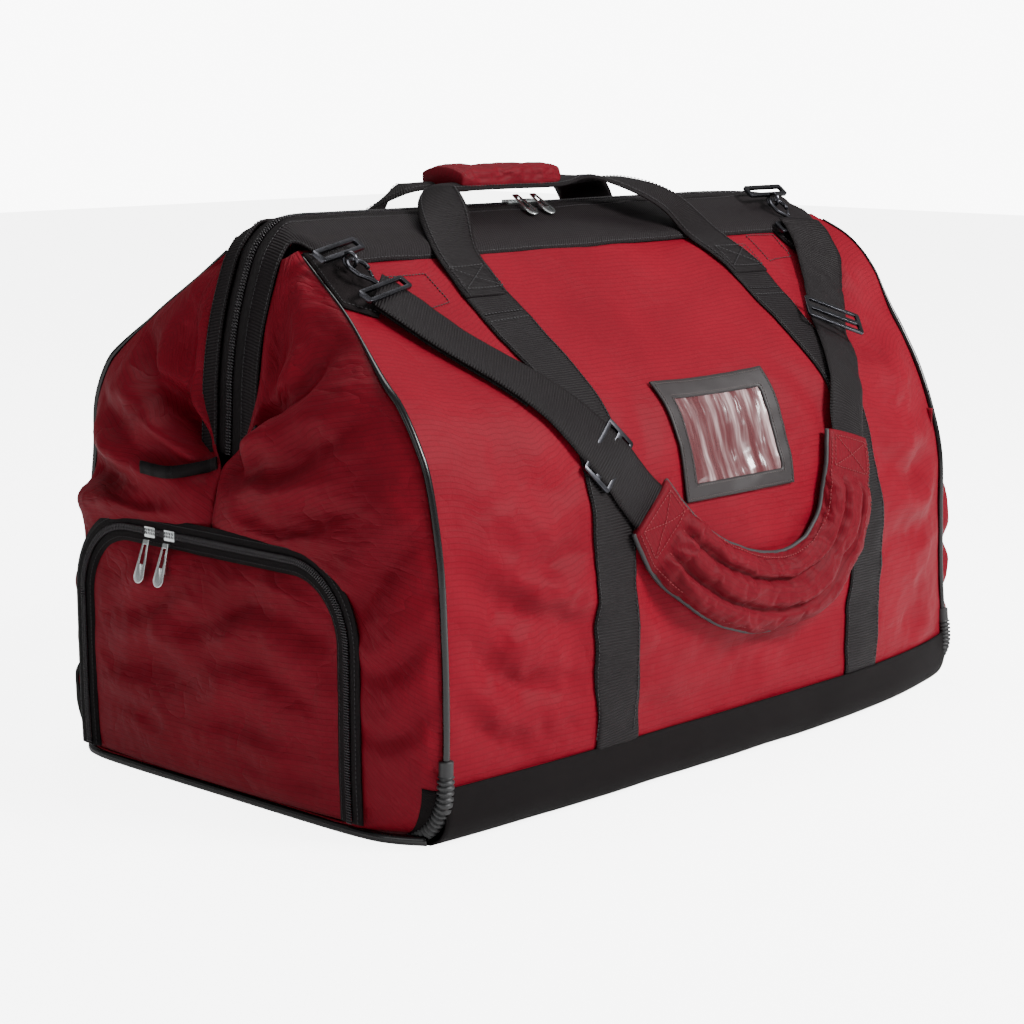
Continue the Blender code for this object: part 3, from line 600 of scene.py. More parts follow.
# Creases on the front, as seen: ((x, z) points, width, depth)
FRONT_CREASES = [
    ([(-0.335, 0.205), (-0.265, 0.170), (-0.205, 0.150)], 0.010, 0.0036),
    ([(-0.330, 0.150), (-0.285, 0.118), (-0.225, 0.100)], 0.009, 0.0030),
    ([(-0.340, 0.110), (-0.300, 0.075), (-0.260, 0.060)], 0.008, 0.0022),
    ([(-0.300, 0.215), (-0.250, 0.205), (-0.205, 0.215)], 0.011, 0.0024),
    ([(-0.290, 0.290), (-0.250, 0.262), (-0.215, 0.250)], 0.012, 0.0022),
    ([(-0.130, 0.120), (-0.080, 0.100), (-0.010, 0.096)], 0.012, 0.0028),
    ([(-0.140, 0.075), (-0.070, 0.068), (0.010, 0.072)], 0.011, 0.0020),
    ([(0.020, 0.110), (0.080, 0.098), (0.140, 0.110)], 0.013, 0.0026),
    ([(-0.130, 0.180), (-0.105, 0.140), (-0.060, 0.118)], 0.010, 0.0028),
    ([(0.205, 0.300), (0.262, 0.268), (0.330, 0.262)], 0.011, 0.0034),
    ([(0.205, 0.235), (0.262, 0.215), (0.335, 0.222)], 0.011, 0.0030),
    ([(0.205, 0.165), (0.270, 0.160), (0.340, 0.172)], 0.011, 0.0024),
    ([(0.215, 0.345), (0.262, 0.330), (0.320, 0.335)], 0.010, 0.0024),
    ([(-0.110, 0.390), (-0.020, 0.376), (0.080, 0.384)], 0.015, 0.0018),
    ([(0.085, 0.345), (0.120, 0.300), (0.128, 0.262)], 0.012, 0.0018),
    ([(-0.095, 0.335), (-0.110, 0.290), (-0.118, 0.250)], 0.012, 0.0016),
]


def panel_points(face_word, s, t):
    """Points of a long panel without folds: s from -1 to 1 along the bag, t from 0 up to the ridge."""
    middle = at(MIDDLE, t)
    result = np.zeros(s.shape + (3,))
    for side in (-1, 1):
        seam = at(SEAMS[(face_word, side)], t)
        power = 4.5 if SEAMS[(face_word, side)] is SEAM_FIRM else 3.2
        weight = np.abs(s) ** power
        y = middle[..., 0] * (1 - weight) + seam[..., 0] * weight
        z = middle[..., 1] * (1 - weight) + seam[..., 1] * weight
        here = (s < 0) if side < 0 else (s >= 0)
        x = s * (HALF - seam[..., 2])
        result = np.where(here[..., None], np.stack([x, y, z], -1), result)
    return result


def folded_panel(face_word, s, t, lift=0.0):
    """The same with its creases, sag and slack, pushed out by lift."""
    flat = panel_points(face_word, s, t)
    step = 0.002
    along = panel_points(face_word, s + step, t) - panel_points(face_word, s - step, t)
    upward = panel_points(face_word, s, t + step) - panel_points(face_word, s, t - step)
    normal = np.cross(along, upward)
    normal /= np.linalg.norm(normal, axis=-1, keepdims=True)
    x, z = flat[..., 0], flat[..., 2]
    seed = 11 if face_word == "front" else 47
    mirror = 1 if face_word == "front" else -1
    depth = crease_depth(x * mirror, z, FRONT_CREASES)
    edge = np.clip(np.minimum(1 - np.abs(s), 0.16) / 0.16, 0, 1) * np.clip(np.minimum(t, 1 - t) / 0.08, 0, 1)
    low = 1 / (1 + np.exp((z - 0.235) / 0.022))
    loose = 0.45 + 1.25 * low * np.exp(-((x + 0.270) / 0.085) ** 2)
    loose += 0.95 * np.exp(-((x - 0.290) / 0.075) ** 2) + 0.45 * low * np.exp(-(x / 0.110) ** 2)
    slack = 0.0042 * value_noise(x * 9, z * 11, seed)
    slack += loose * 0.0030 * value_noise(x * 23, z * 27, seed + 1)
    slack += loose * 0.0085 * (ridged(x * 8 + z * 7, z * 15 - x * 4, seed + 2, 4) - 0.62)
    slack += (loose - 0.45) * 0.0060 * (ridged(x * 19 + z * 15, z * 24 - x * 13, seed + 9, 3) - 0.62)
    out = (slack - (1.7 + 0.8 * low) * depth) * (0.12 + 0.88 * edge) + lift
    return flat + normal * out[..., None]


def place_on_panel(face_word, x, z, lift):
    """Points on a panel at given x and height: finds t by height along the panel's own line."""
    x, z = np.broadcast_arrays(np.asarray(x, float), np.asarray(z, float))
    s = np.clip(x / (HALF - 0.004), -1, 1)
    t = np.clip((z - 0.044) / (0.434 - 0.044), 0, 1)
    for _ in range(12):
        flat = panel_points(face_word, s, t)
        t = np.clip(t + (z - flat[..., 2]) * 1.6, 0, 1)
        s = np.clip(s + (x - flat[..., 0]) / HALF, -1, 1)
    return folded_panel(face_word, s, t, lift)


def mirrored(points, face_word):
    """Front points as the rear's."""
    if face_word == "rear":
        points = points * np.array([1, -1, 1])
    return points


def make_panels(paint):
    made = {}
    for word in MOUTHS:
        s, t = np.meshgrid(np.linspace(-1, 1, 241), np.linspace(0, 1, 131), indexing="ij")
        grid = mirrored(folded_panel(word, s, t), word)
        piece = grid_piece(f"{word}_cloth", grid, paint["red"], 0.0016)
        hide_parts(f"{word}_wall", f"{word}_roof")
        bend(piece)
        made[word] = piece
    return made


# ------------------------------------------------------------------ base


def base_line(count=41):
    """Half of the tub's outline from the band's top edge round to the floor: (y, z)."""
    radius = 0.024
    top = [(-0.2436, BAND_Z - 0.002), (-0.2440, 0.036)]
    angles = np.linspace(0, math.pi / 2, 12)
    arc = [(-0.2440 + radius * (1 - math.cos(a)), radius * (1 - math.sin(a)) + 0.0004) for a in angles]
    return smooth_curve(top + arc + [(-0.150, 0.0004)], count)


def make_base(paint):
    half = base_line()
    xs = np.linspace(-HALF - 0.002, HALF + 0.002, 121)
    outline = np.vstack([half, (half * [-1, 1])[::-1]])
    grid = np.zeros((len(xs), len(outline), 3))
    for n, x in enumerate(xs):
        share = abs(x / HALF)
        front_tuck = 0.0360 * share ** 3.2 if x > 0 else 0.0065 * share ** 4.5
        rear_tuck = 0.0320 * share ** 3.2
        y = outline[:, 0].copy()
        front = y < 0
        y[front] += front_tuck * np.clip(-y[front] / WALL_Y, 0, 1)
        y[~front] -= rear_tuck * np.clip(y[~front] / WALL_Y, 0, 1)
        wave = 0.0010 * value_noise(np.full(len(outline), x * 20), outline[:, 1] * 45, 5)
        wave *= np.clip((BAND_Z - outline[:, 1]) / 0.012, 0, 1)
        grid[n] = np.stack([np.full(len(outline), x), y + wave * np.sign(y), outline[:, 1]], 1)
    piece = grid_piece("base_cloth", grid, paint["twill"], 0.0018)
    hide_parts("base_tub")
    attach(piece, "bag_body")
    return piece


# ------------------------------------------------------------------ straps, threads and copies


def closed_piece(name, rings, material, uv_scale=1.0):
    """A capped solid from rings of points (along, around, 3)."""
    along, around = rings.shape[:2]
    mesh = bpy.data.meshes.new(name)
    index = np.arange(along * around).reshape(along, around)
    nxt = np.roll(index, -1, 1)
    faces = [
        (index[i, j], index[i + 1, j], nxt[i + 1, j], nxt[i, j])
        for i in range(along - 1) for j in range(around)
    ]
    faces += [tuple(index[0]), tuple(index[-1][::-1])]
    faces = [tuple(int(k) for k in face) for face in faces]
    mesh.from_pydata(rings.reshape(-1, 3).tolist(), [], faces)
    run_u = np.zeros((along, around))
    run_u[1:] = np.cumsum(np.linalg.norm(np.diff(rings, axis=0), axis=-1), axis=0)
    run_u = np.repeat(run_u.mean(1, keepdims=True), around, 1)
    run_v = np.zeros((along, around))
    run_v[:, 1:] = np.cumsum(np.linalg.norm(np.diff(rings, axis=1), axis=-1), axis=1)
    uv = np.stack([run_u, run_v], -1).reshape(-1, 2) * uv_scale
    layer = mesh.uv_layers.new(name="metres")
    loops = np.zeros(len(mesh.loops), dtype=int)
    mesh.loops.foreach_get("vertex_index", loops)
    layer.data.foreach_set("uv", uv[loops].ravel())
    mesh.materials.append(material)
    shape = bmesh.new()
    shape.from_mesh(mesh)
    bmesh.ops.recalc_face_normals(shape, faces=shape.faces)
    shape.to_mesh(mesh)
    shape.free()
    mesh.shade_smooth()
    return link(bpy.data.objects.new(name, mesh))


def strap_rings(surface, thickness):
    """Rings round a strap from its top surface, points (along, across, 3), with rounded edges."""
    normal = normals_of(surface)
    up = np.array([0, -0.6, 1.0])
    flip = np.where(np.sum(normal.mean((0, 1)) * up) < 0, -1, 1)
    normal = normal * flip
    across = surface.shape[1]
    edge = np.abs(np.linspace(-1, 1, across))
    drop = thickness * 0.30 * np.clip((edge - 0.90) / 0.10, 0, 1) ** 2
    top = surface - normal * drop[None, :, None]
    bottom = surface - normal * (thickness - drop)[None, :, None]
    return np.concatenate([top, bottom[:, ::-1]], 1)


def route_frame(curve):
    """Unit directions along an (x, z) curve and across it."""
    ahead = np.gradient(curve, axis=0)
    ahead /= np.linalg.norm(ahead, axis=1, keepdims=True)
    return ahead, np.stack([-ahead[:, 1], ahead[:, 0]], 1)


def laid_surface(word, route, width, lift, count=120, columns=13, cup=0.0):
    """The top surface of a strap that lies on a panel. route is (x, z) or (x, z, extra lift) rows."""
    curve = smooth_curve(route, count)
    extra = curve[:, 2] if curve.shape[1] > 2 else np.zeros(count)
    flat = curve[:, :2]
    _, side = route_frame(flat)
    share = np.linspace(-1, 1, columns)
    slope = np.ones(count)
    x = flat[:, None, 0] + side[:, None, 0] * share[None] * width / 2
    # heights shrink where the panel leans back
    probe = place_on_panel(word, flat[:, 0], flat[:, 1], 0)
    above = place_on_panel(word, flat[:, 0], flat[:, 1] + 0.006, 0)
    slope = 0.006 / np.maximum(np.linalg.norm(above - probe, axis=1), 0.006)
    z = flat[:, None, 1] + side[:, None, 1] * share[None] * width / 2 * slope[:, None]
    height = lift + extra[:, None] + cup * (1 - share[None] ** 2)
    return mirrored(place_on_panel(word, x, z, height), word)


def laid_line(word, points, lift, count=60):
    """A dense line on a panel through straight (x, z) points."""
    p = np.array(points, float)
    run = np.r_[0, np.cumsum(np.linalg.norm(np.diff(p, axis=0), axis=1))]
    even = np.linspace(0, run[-1], count)
    x, z = np.interp(even, run, p[:, 0]), np.interp(even, run, p[:, 1])
    return mirrored(place_on_panel(word, x, z, lift), word)


def thread_piece(name, lines, material, pitch=0.0036, radius=0.00042):
    """Running stitches along lines, as one mesh of short rounded bars."""
    points, faces = [], []
    for line in lines:
        line = np.array(line)
        run = np.r_[0, np.cumsum(np.linalg.norm(np.diff(line, axis=0), axis=1))]
        starts = np.arange(pitch * 0.2, run[-1] - pitch * 0.7, pitch)
        for start in starts:
            shares = start + pitch * 0.72 * np.array([0, 0.2, 0.8, 1.0])
            spine = np.stack([np.interp(shares, run, line[:, k]) for k in range(3)], 1)
            ahead = spine[-1] - spine[0]
            length = np.linalg.norm(ahead)
            if length < 1e-6:
                continue
            ahead /= length
            side = np.cross(ahead, (0.2, 0.9, 0.4))
            side /= np.linalg.norm(side)
            up = np.cross(ahead, side)
            base = len(points)
            for place, size in zip(spine, (0.35, 1, 1, 0.35)):
                for angle in (0, 1, 2, 3, 4):
                    turn = angle * 2 * math.pi / 5
                    points.append(place + radius * size * (math.cos(turn) * side + math.sin(turn) * up))
            for ring in range(3):
                for j in range(5):
                    a, b = base + ring * 5, base + ring * 5 + 5
                    faces.append((a + j, b + j, b + (j + 1) % 5, a + (j + 1) % 5))
    mesh = bpy.data.meshes.new(name)
    mesh.from_pydata([tuple(p) for p in points], [], faces)
    mesh.uv_layers.new(name="metres")
    mesh.materials.append(material)
    mesh.shade_smooth()
    return link(bpy.data.objects.new(name, mesh))


def coil_points(path, normal, radius, pitch, per_turn=6):
    """A helix round a dense path."""
    run = np.r_[0, np.cumsum(np.linalg.norm(np.diff(path, axis=0), axis=1))]
    turns = int(run[-1] / pitch)
    even = np.linspace(0, run[-1], turns * per_turn)
    place = np.stack([np.interp(even, run, path[:, k]) for k in range(3)], 1)
    up = np.stack([np.interp(even, run, normal[:, k]) for k in range(3)], 1)
    up /= np.linalg.norm(up, axis=1, keepdims=True)
    ahead = np.gradient(place, axis=0)
    ahead /= np.linalg.norm(ahead, axis=1, keepdims=True)
    side = np.cross(ahead, up)
    angle = np.arange(len(even)) * 2 * math.pi / per_turn
    return place + radius * (np.cos(angle)[:, None] * side + 0.62 * np.sin(angle)[:, None] * up)


def refined(node, body, material, bevel=0.0006, segments=3):
    """A smooth-edged copy of a CAD piece, which it replaces."""
    source = frame["nodes"][node]
    mesh = source.data.copy()
    mesh.name = node + "_fine"
    mesh.materials.clear()
    mesh.materials.append(material)
    piece = link(bpy.data.objects.new(node + "_fine", mesh))
    merge = bmesh.new()
    merge.from_mesh(mesh)
    bmesh.ops.remove_doubles(merge, verts=merge.verts, dist=1e-5)
    merge.to_mesh(mesh)
    merge.free()
    mesh.shade_smooth()
    edge = piece.modifiers.new("edge", "BEVEL")
    edge.width = bevel
    edge.segments = segments
    edge.limit_method = "ANGLE"
    edge.angle_limit = math.radians(28)
    edge.harden_normals = True
    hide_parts(node)
    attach(piece, body)
    return piece


# ------------------------------------------------------------------ the bag's ends

# Rows of one half of an end: the seam (y, z), the inner edge (y, z, x), and how far it bulges
END_ROWS = smooth_curve([
    (0.0000, 0.0030, 0.0000, 0.0085, 0.3745, 0.000), (-0.1000, 0.0030, -0.1000, 0.0085, 0.3745, 0.000),
    (-0.1800, 0.0035, -0.1480, 0.0090, 0.3748, 0.002), (-0.2110, 0.0100, -0.1620, 0.0160, 0.3755, 0.005),
    (-0.2290, 0.0300, -0.1640, 0.0450, 0.3765, 0.009), (-0.2335, 0.0600, -0.1640, 0.0750, 0.3770, 0.011),
    (-0.2345, 0.1000, -0.1640, 0.1050, 0.3770, 0.012), (-0.2335, 0.1500, -0.1625, 0.1500, 0.3770, 0.013),
    (-0.2310, 0.1950, -0.1440, 0.1860, 0.3770, 0.014), (-0.2265, 0.2280, -0.1080, 0.2065, 0.3770, 0.017),
    (-0.2190, 0.2620, -0.0600, 0.2115, 0.3770, 0.020), (-0.2100, 0.2920, -0.0180, 0.2125, 0.3770, 0.021),
    (-0.2000, 0.3120, -0.0010, 0.2200, 0.3760, 0.021), (-0.1870, 0.3300, -0.0005, 0.2420, 0.3715, 0.020),
    (-0.1660, 0.3470, -0.0010, 0.2660, 0.3640, 0.017), (-0.1400, 0.3660, -0.0180, 0.2880, 0.3560, 0.013),
    (-0.1120, 0.3870, -0.0315, 0.3300, 0.3520, 0.009), (-0.0700, 0.4140, -0.0335, 0.3800, 0.3445, 0.006),
    (-0.0400, 0.4340, -0.0335, 0.4300, 0.3270, 0.002),
], 260)

END_CREASES = [
    ([(-0.004, 0.266), (-0.034, 0.290), (-0.066, 0.320)], 0.0075, 0.0190),
    ([(-0.004, 0.262), (-0.030, 0.264), (-0.070, 0.282)], 0.0070, 0.0090),
    ([(-0.020, 0.262), (-0.070, 0.268), (-0.128, 0.290)], 0.0090, 0.0075),
    ([(-0.016, 0.250), (-0.080, 0.240), (-0.165, 0.250)], 0.0090, 0.0060),
    ([(-0.050, 0.385), (-0.052, 0.345), (-0.040, 0.305)], 0.0080, 0.0060),
    ([(-0.110, 0.365), (-0.092, 0.335), (-0.062, 0.306)], 0.0090, 0.0060),
    ([(-0.165, 0.318), (-0.135, 0.300), (-0.090, 0.292)], 0.0080, 0.0042),
    ([(-0.212, 0.235), (-0.185, 0.205), (-0.168, 0.165)], 0.0080, 0.0038),
    ([(-0.222, 0.165), (-0.200, 0.140), (-0.172, 0.128)], 0.0075, 0.0034),
    ([(-0.222, 0.105), (-0.198, 0.085), (-0.170, 0.082)], 0.0070, 0.0030),
    ([(-0.130, 0.232), (-0.090, 0.226), (-0.050, 0.232)], 0.0060, 0.0034),
]
FLAP_CREASES = [
    ([(-0.135, 0.150), (-0.080, 0.168), (-0.020, 0.160)], 0.0080, 0.0030),
    ([(-0.120, 0.105), (-0.060, 0.122), (0.010, 0.112)], 0.0090, 0.0036),
    ([(-0.060, 0.180), (-0.020, 0.150), (0.040, 0.138)], 0.0080, 0.0030),
    ([(0.020, 0.178), (0.070, 0.150), (0.120, 0.140)], 0.0085, 0.0032),
    ([(0.000, 0.090), (0.060, 0.102), (0.130, 0.092)], 0.0090, 0.0030),
    ([(-0.110, 0.060), (-0.040, 0.072), (0.030, 0.062)], 0.0085, 0.0026),
    ([(-0.150, 0.040), (-0.090, 0.036), (-0.030, 0.042)], 0.0070, 0.0020),
    ([(0.050, 0.050), (0.100, 0.062), (0.145, 0.052)], 0.0080, 0.0024),
]


def seam_at(word, side, z):
    """The end seam's y and inset at heights above the base band."""
    curve = SEAMS[(word, side)]
    return np.interp(z, curve[:, 1], curve[:, 0]), np.interp(z, curve[:, 1], curve[:, 2])


def end_edges(word, side):
    """The seam and inner edge of one half of an end, as 3-D rows on the front."""
    rows = END_ROWS
    y, z = rows[:, 0].copy(), rows[:, 1]
    seam_y, inset = seam_at(word, side, z)
    low_y, _ = seam_at(word, side, 0.038)
    blend = np.clip((z - 0.030) / 0.030, 0, 1)
    slump = (low_y + 0.2335) * np.clip(-y / WALL_Y, 0, 1)
    y = (y + slump) * (1 - blend) + seam_y * blend
    seam = np.stack([side * (HALF - inset * blend), y, z], 1)
    out = rows[:, 4] + (np.interp(rows[:, 3], [0.33, 0.39, 0.43], [0, 0.008, 0.022]) if side > 0 else 0)
    inner = np.stack([side * out, rows[:, 2], rows[:, 3]], 1)
    return seam, inner, rows[:, 5]


def make_tail(name, grid, side, paint):
    """The zip's sewn end, which lies along the fold behind the mouth."""
    points = grid.reshape(-1, 3)
    rows = []
    for y, z in smooth_curve([(0.0040, 0.2700), (0.0220, 0.2640), (0.0450, 0.2600), (0.0720, 0.2620)], 24):
        near = np.argsort(np.hypot(points[:, 1] - y, points[:, 2] - z))[:12]
        x = side * (np.abs(points[near, 0]).max() + 0.0022)
        rows.append([(x - side * 0.0006, y, z - 0.0052), (x, y, z), (x - side * 0.0006, y, z + 0.0052)])
    piece = grid_piece(name, np.array(rows), paint["tape"], 0.0014)
    bend(piece)


# How the twill on an end's corner is cut: its top, its columns of the end's grid, and its lower width
FOOT = {"front": (0.047, 12, 0.55), "rear": (0.080, 40, 0.75)}


def make_ends(paint):
    for side_word, side in SIDES.items():
        for word in MOUTHS:
            seam, inner, bulge = end_edges(word, side)
            u = np.linspace(0, 1, 57)[None, :, None]
            grid = seam[:, None] * (1 - u) + inner[:, None] * u
            normal = normals_of(grid)
            normal *= np.sign(np.sum(normal.mean((0, 1)) * [side, 0, 0.1]))
            y, z = grid[..., 1], grid[..., 2]
            share = u[..., 0]
            swell = bulge[:, None] * np.sin(np.pi * share ** 0.8) ** 0.8
            seed = {"front": 5, "rear": 83}[word] + (0 if side < 0 else 31)
            pinch = np.clip(np.minimum(share, 1 - share) / 0.14, 0, 1)
            high = np.clip((z - 0.10) / 0.12, 0.35, 1)
            noise = 0.0110 * (ridged(y * 11, z * 15 + y * 5, seed, 4) - 0.60) * high
            noise += 0.0030 * value_noise(y * 21 + z * 9, z * 26, seed + 7) * high
            depth = 1.5 * crease_depth(y, z, END_CREASES)
            if word == "rear":
                depth += crease_depth(y, z, [([(-0.215, 0.262), (-0.160, 0.246), (-0.080, 0.252)],
                                              0.012, 0.0100)])
            grid = grid + normal * (swell + (noise - depth) * pinch)[..., None]
            limit = 0.3965
            grid[..., 0] = side * np.minimum(side * grid[..., 0], limit)
            grid = mirrored(grid, word)
            name = f"{side_word}_{word}_end_cloth"
            # the end cloth's darker colour is painted shade on the ends
            piece = grid_piece(name, grid.transpose(1, 0, 2), paint["red_painted_shade_end"], 0.0014)
            if word == "rear":
                make_tail(f"{side_word}_zip_tail", grid, side, paint)
            nodes = [f"{word}_{side_word}_gusset"]
            if word == "front":
                nodes += [f"{side_word}_pocket_wall"]
            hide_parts(*nodes)
            bend(piece)
            # the base's black twill comes a little way up the end
            top, columns, narrow = FOOT[word]
            low = grid[seam[:, 2] < top][:, :columns]
            place = np.linspace(0, columns - 1, columns)[None] * np.linspace(narrow, 1, len(low))[:, None]
            below = np.minimum(place.astype(int), columns - 2)
            part = (place - below)[..., None]
            rows = np.arange(len(low))[:, None]
            foot = low[rows, below] * (1 - part) + low[rows, below + 1] * part
            foot[..., 0] = side * np.minimum(side * foot[..., 0] + 0.0011, 0.3968)
            piece = grid_piece(f"{side_word}_{word}_end_foot", foot.transpose(1, 0, 2), paint["twill"],
                               0.0008)
            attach(piece, "bag_body")


def arch_line(half, foot, top, radius, count=400):
    """An even inverted U in (y, z)."""
    points = [(-half, z) for z in np.linspace(foot, top - radius, 12)[:-1]]
    for angle in np.linspace(0, math.pi / 2, 16):
        points.append((-half + radius - radius * math.cos(angle), top - radius + radius * math.sin(angle)))
    points += [(y, top) for y in np.linspace(-half + radius, 0, 6)[1:]]
    points += [(-y, z) for y, z in points[-2::-1]]
    return smooth_curve(points, count)


def arch_x(z):
    """How far out the pocket's zip stands."""
    return np.interp(z, [0.0, 0.012, 0.05, 0.21, 0.24], [0.3742, 0.3752, 0.3768, 0.3772, 0.3772])


def flap_point(share, z, side):
    """Points of a pocket's flap, with its dome and creases."""
    radius, top, half = 0.060, POCKET_TOP, POCKET_HALF - 0.0005
    shoulder = top - radius
    rise = np.clip(z - shoulder, 0, radius * 0.9999)
    width = half - radius + np.sqrt(radius ** 2 - rise ** 2)
    y = share * width
    climb = (z - POCKET_FOOT) / (top - POCKET_FOOT)
    dome = 0.0145 * np.clip(1 - np.abs(2 * climb - 0.92) ** 2.4, 0, 1) ** 0.6
    swell = dome * np.clip(1 - np.abs(share) ** 2.6, 0, 1)
    edge = np.clip((1 - np.abs(share)) / 0.15, 0, 1) * np.clip(climb / 0.08, 0, 1) \
        * np.clip((1 - climb) / 0.10, 0, 1)
    wrinkle = 0.0088 * (ridged(y * 12 + z * 4, z * 15 - y * 4, 61, 4) - 0.62)
    wrinkle += 0.0022 * value_noise(y * 26, z * 30, 71)
    depth = 1.5 * crease_depth(y, z, FLAP_CREASES)
    out = arch_x(z) + swell + (wrinkle - depth) * edge
    return np.stack([side * np.minimum(out, 0.3965), y, z], -1)


def make_pockets(paint):
    for side_word, side in SIDES.items():
        # the end wall behind the pocket
        y, z = np.meshgrid(np.linspace(-0.192, 0.178, 90), np.linspace(0.006, 0.262, 60), indexing="ij")
        x = side * (0.3450 + 0.0022 * value_noise(y * 14, z * 16, 91) - 0.004 * np.clip(z / 0.05, 0, 1))
        # the end wall here and the flap further down use the darker end cloth, which is painted shade
        wall = grid_piece(f"{side_word}_end_wall", np.stack([x, y, z], -1), paint["red_painted_shade_end"], 0.0014)
        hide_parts(f"{side_word}_end_panel")
        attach(wall, "bag_body")

        flap_body = f"{side_word}_flap"
        z = POCKET_FOOT + (POCKET_TOP - POCKET_FOOT) * np.sin(np.linspace(0, math.pi / 2, 90)) ** 0.9
        share = np.sin(np.linspace(-math.pi / 2, math.pi / 2, 111))
        shares, heights = np.meshgrid(share, z, indexing="ij")
        grid = flap_point(shares, heights, side)
        piece = grid_piece(f"{side_word}_flap_cloth", grid, paint["red_painted_shade_end"], 0.0016)
        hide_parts(f"{side_word}_pocket_flap")
        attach(piece, flap_body)

        toe = smooth_curve([
            (0.3530, -0.2180, 0.0050), (0.3640, -0.1980, 0.0046), (0.3712, -0.1740, 0.0046),
            (0.3738, -0.1200, 0.0046), (0.3744, 0.0000, 0.0048), (0.3738, 0.1200, 0.0046),
            (0.3712, 0.1640, 0.0050), (0.3640, 0.1800, 0.0062), (0.3530, 0.1900, 0.0090),
        ], 200) * [side, 1, 1]
        if side > 0:
            toe[:, 1] = np.where(toe[:, 1] < 0, toe[:, 1] * 0.86, toe[:, 1])
        piece = tube_piece(f"{side_word}_foot_piping", toe, 0.0040, paint["piping"], 12)
        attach(piece, "bag_body")

        line = arch_line(POCKET_HALF + 0.0020, POCKET_FOOT + 0.001, POCKET_TOP + 0.0026, 0.0615)
        ahead = np.gradient(line, axis=0)
        ahead /= np.linalg.norm(ahead, axis=1, keepdims=True)
        out = np.stack([-ahead[:, 1], ahead[:, 0]], 1)
        seat = arch_x(line[:, 1])

        def offset(reach, lift):
            yz = line + out * reach
            return np.stack([side * (seat + lift), yz[:, 0], yz[:, 1]], 1)

        for part, body, reaches in (
            ("wall", "bag_body", (0.0014, 0.0045, 0.0090, 0.0125)),
            ("flap", flap_body, (-0.0014, -0.0045, -0.0090, -0.0120)),
        ):
            lifts = (0.0036, 0.0046, 0.0040, 0.0030)
            tape = np.stack([offset(r, h) for r, h in zip(reaches, lifts)], 1)
            piece = grid_piece(f"{side_word}_{part}_zip_tape", tape, paint["tape"], 0.0016)
            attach(piece, body)
            reach = 0.0013 if part == "wall" else -0.0013
            normal = np.tile([side, 0.0, 0.0], (len(line), 1))
            helix = coil_points(offset(reach, 0.0050), normal, 0.0015, 0.0021)
            coil = tube_piece(f"{side_word}_{part}_zip_coil", helix, 0.00055, paint["coil"], 4)
            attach(coil, body)
            edge = 0.0085 if part == "wall" else -0.0085
            stitches = thread_piece(f"{side_word}_{part}_zip_stitches", [offset(edge, 0.0043)],
                                    paint["thread"])
            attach(stitches, body)


# ------------------------------------------------------------------ mouth: bands, tapes and coil


def mouth_line(count=700):
    """The U of the closed mouth, from the left fold over the ridge to the right fold: (x, z)."""
    half = [(0.3560, 0.276), (0.3545, 0.305), (0.3525, 0.340), (0.3460, 0.380), (0.3350, 0.416),
            (0.3245, 0.438), (0.3080, 0.4535), (0.2880, 0.4598), (0.240, 0.4603), (0.160, 0.4600),
            (0.080, 0.4602)]
    right = [(0.3560, 0.276), (0.3555, 0.305), (0.3545, 0.340), (0.3530, 0.380), (0.3500, 0.412),
             (0.3440, 0.436), (0.3310, 0.4505), (0.3080, 0.4570), (0.240, 0.4600), (0.160, 0.4600),
             (0.080, 0.4602)]
    return smooth_curve([(-x, z) for x, z in half] + [(0, 0.4600)] + right[::-1], count)


def make_mouth(paint):
    line = mouth_line()
    x, z = line[:, 0], line[:, 1]
    ridge = np.clip((HALF - np.where(x < 0, 0.028, 0.008) - np.abs(x)) / 0.026, 0, 1)
    ridge = ridge * ridge * (3 - 2 * ridge)
    outward = np.stack([x * 0, x * 0, x * 0], 1)
    ahead = np.gradient(line, axis=0)
    ahead /= np.linalg.norm(ahead, axis=1, keepdims=True)
    outward[:, 0], outward[:, 2] = -ahead[:, 1], ahead[:, 0]
    for word, face in MOUTHS.items():
        body = f"{word}_mouth"
        # the wide band: over the slope on the ridge, narrow down the ends
        columns = []
        for share in np.linspace(0, 1, 15):
            top_z = 0.4585 - 0.0335 * share ** 1.25
            top_y = -0.0150 - 0.0455 * share
            slope = place_on_panel("front", x, np.full_like(x, 0.4335 - 0.0085 * share), 0.0026)
            laid = np.clip((share - 0.45) / 0.4, 0, 1)
            on_top = np.stack([x, np.full_like(x, top_y), np.full_like(x, top_z)], 1)
            on_top[:, 1] = on_top[:, 1] * (1 - laid) + np.minimum(slope[:, 1], -0.052) * laid
            on_end = np.stack([x + np.sign(x) * 0.0012, -0.0150 - 0.0180 * share + x * 0,
                               z + 0.0012 - 0.004 * share], 1)
            wave = 0.0008 * value_noise(x * 30, np.full_like(x, share * 4), 3)
            point = on_end * (1 - ridge[:, None]) + on_top * ridge[:, None]
            columns.append(point + outward * wave[:, None])
        band = np.stack(columns, 1) * [1, -face, 1]
        piece = grid_piece(f"{word}_band_cloth", band, paint["band"], 0.0022)
        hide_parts(f"{word}_band")
        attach(piece, body)
        seams = [band[:, 1] + outward * 0.0003, band[:, 13] + outward * 0.0003]
        stitches = thread_piece(f"{word}_band_stitches", seams, paint["thread"])
        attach(stitches, body)
        # the zip tape and its coil
        tape = np.stack([
            np.stack([x, np.full_like(x, face * y), z], 1) + outward * h
            for y, h in ((0.0016, -0.0006), (0.0050, 0.0008), (0.0105, 0.0004), (0.0160, -0.0016))
        ], 1)
        piece = grid_piece(f"{word}_zip_tape", tape, paint["tape"], 0.0014)
        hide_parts(f"{word}_zip")
        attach(piece, body)
        spine = np.stack([x, np.full_like(x, face * 0.0016), z], 1) + outward * 0.0010
        coil = tube_piece(f"{word}_zip_coil", coil_points(spine, outward, 0.0017, 0.0024), 0.0006,
                          paint["coil"], 4)
        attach(coil, body)


# ------------------------------------------------------------------ piping


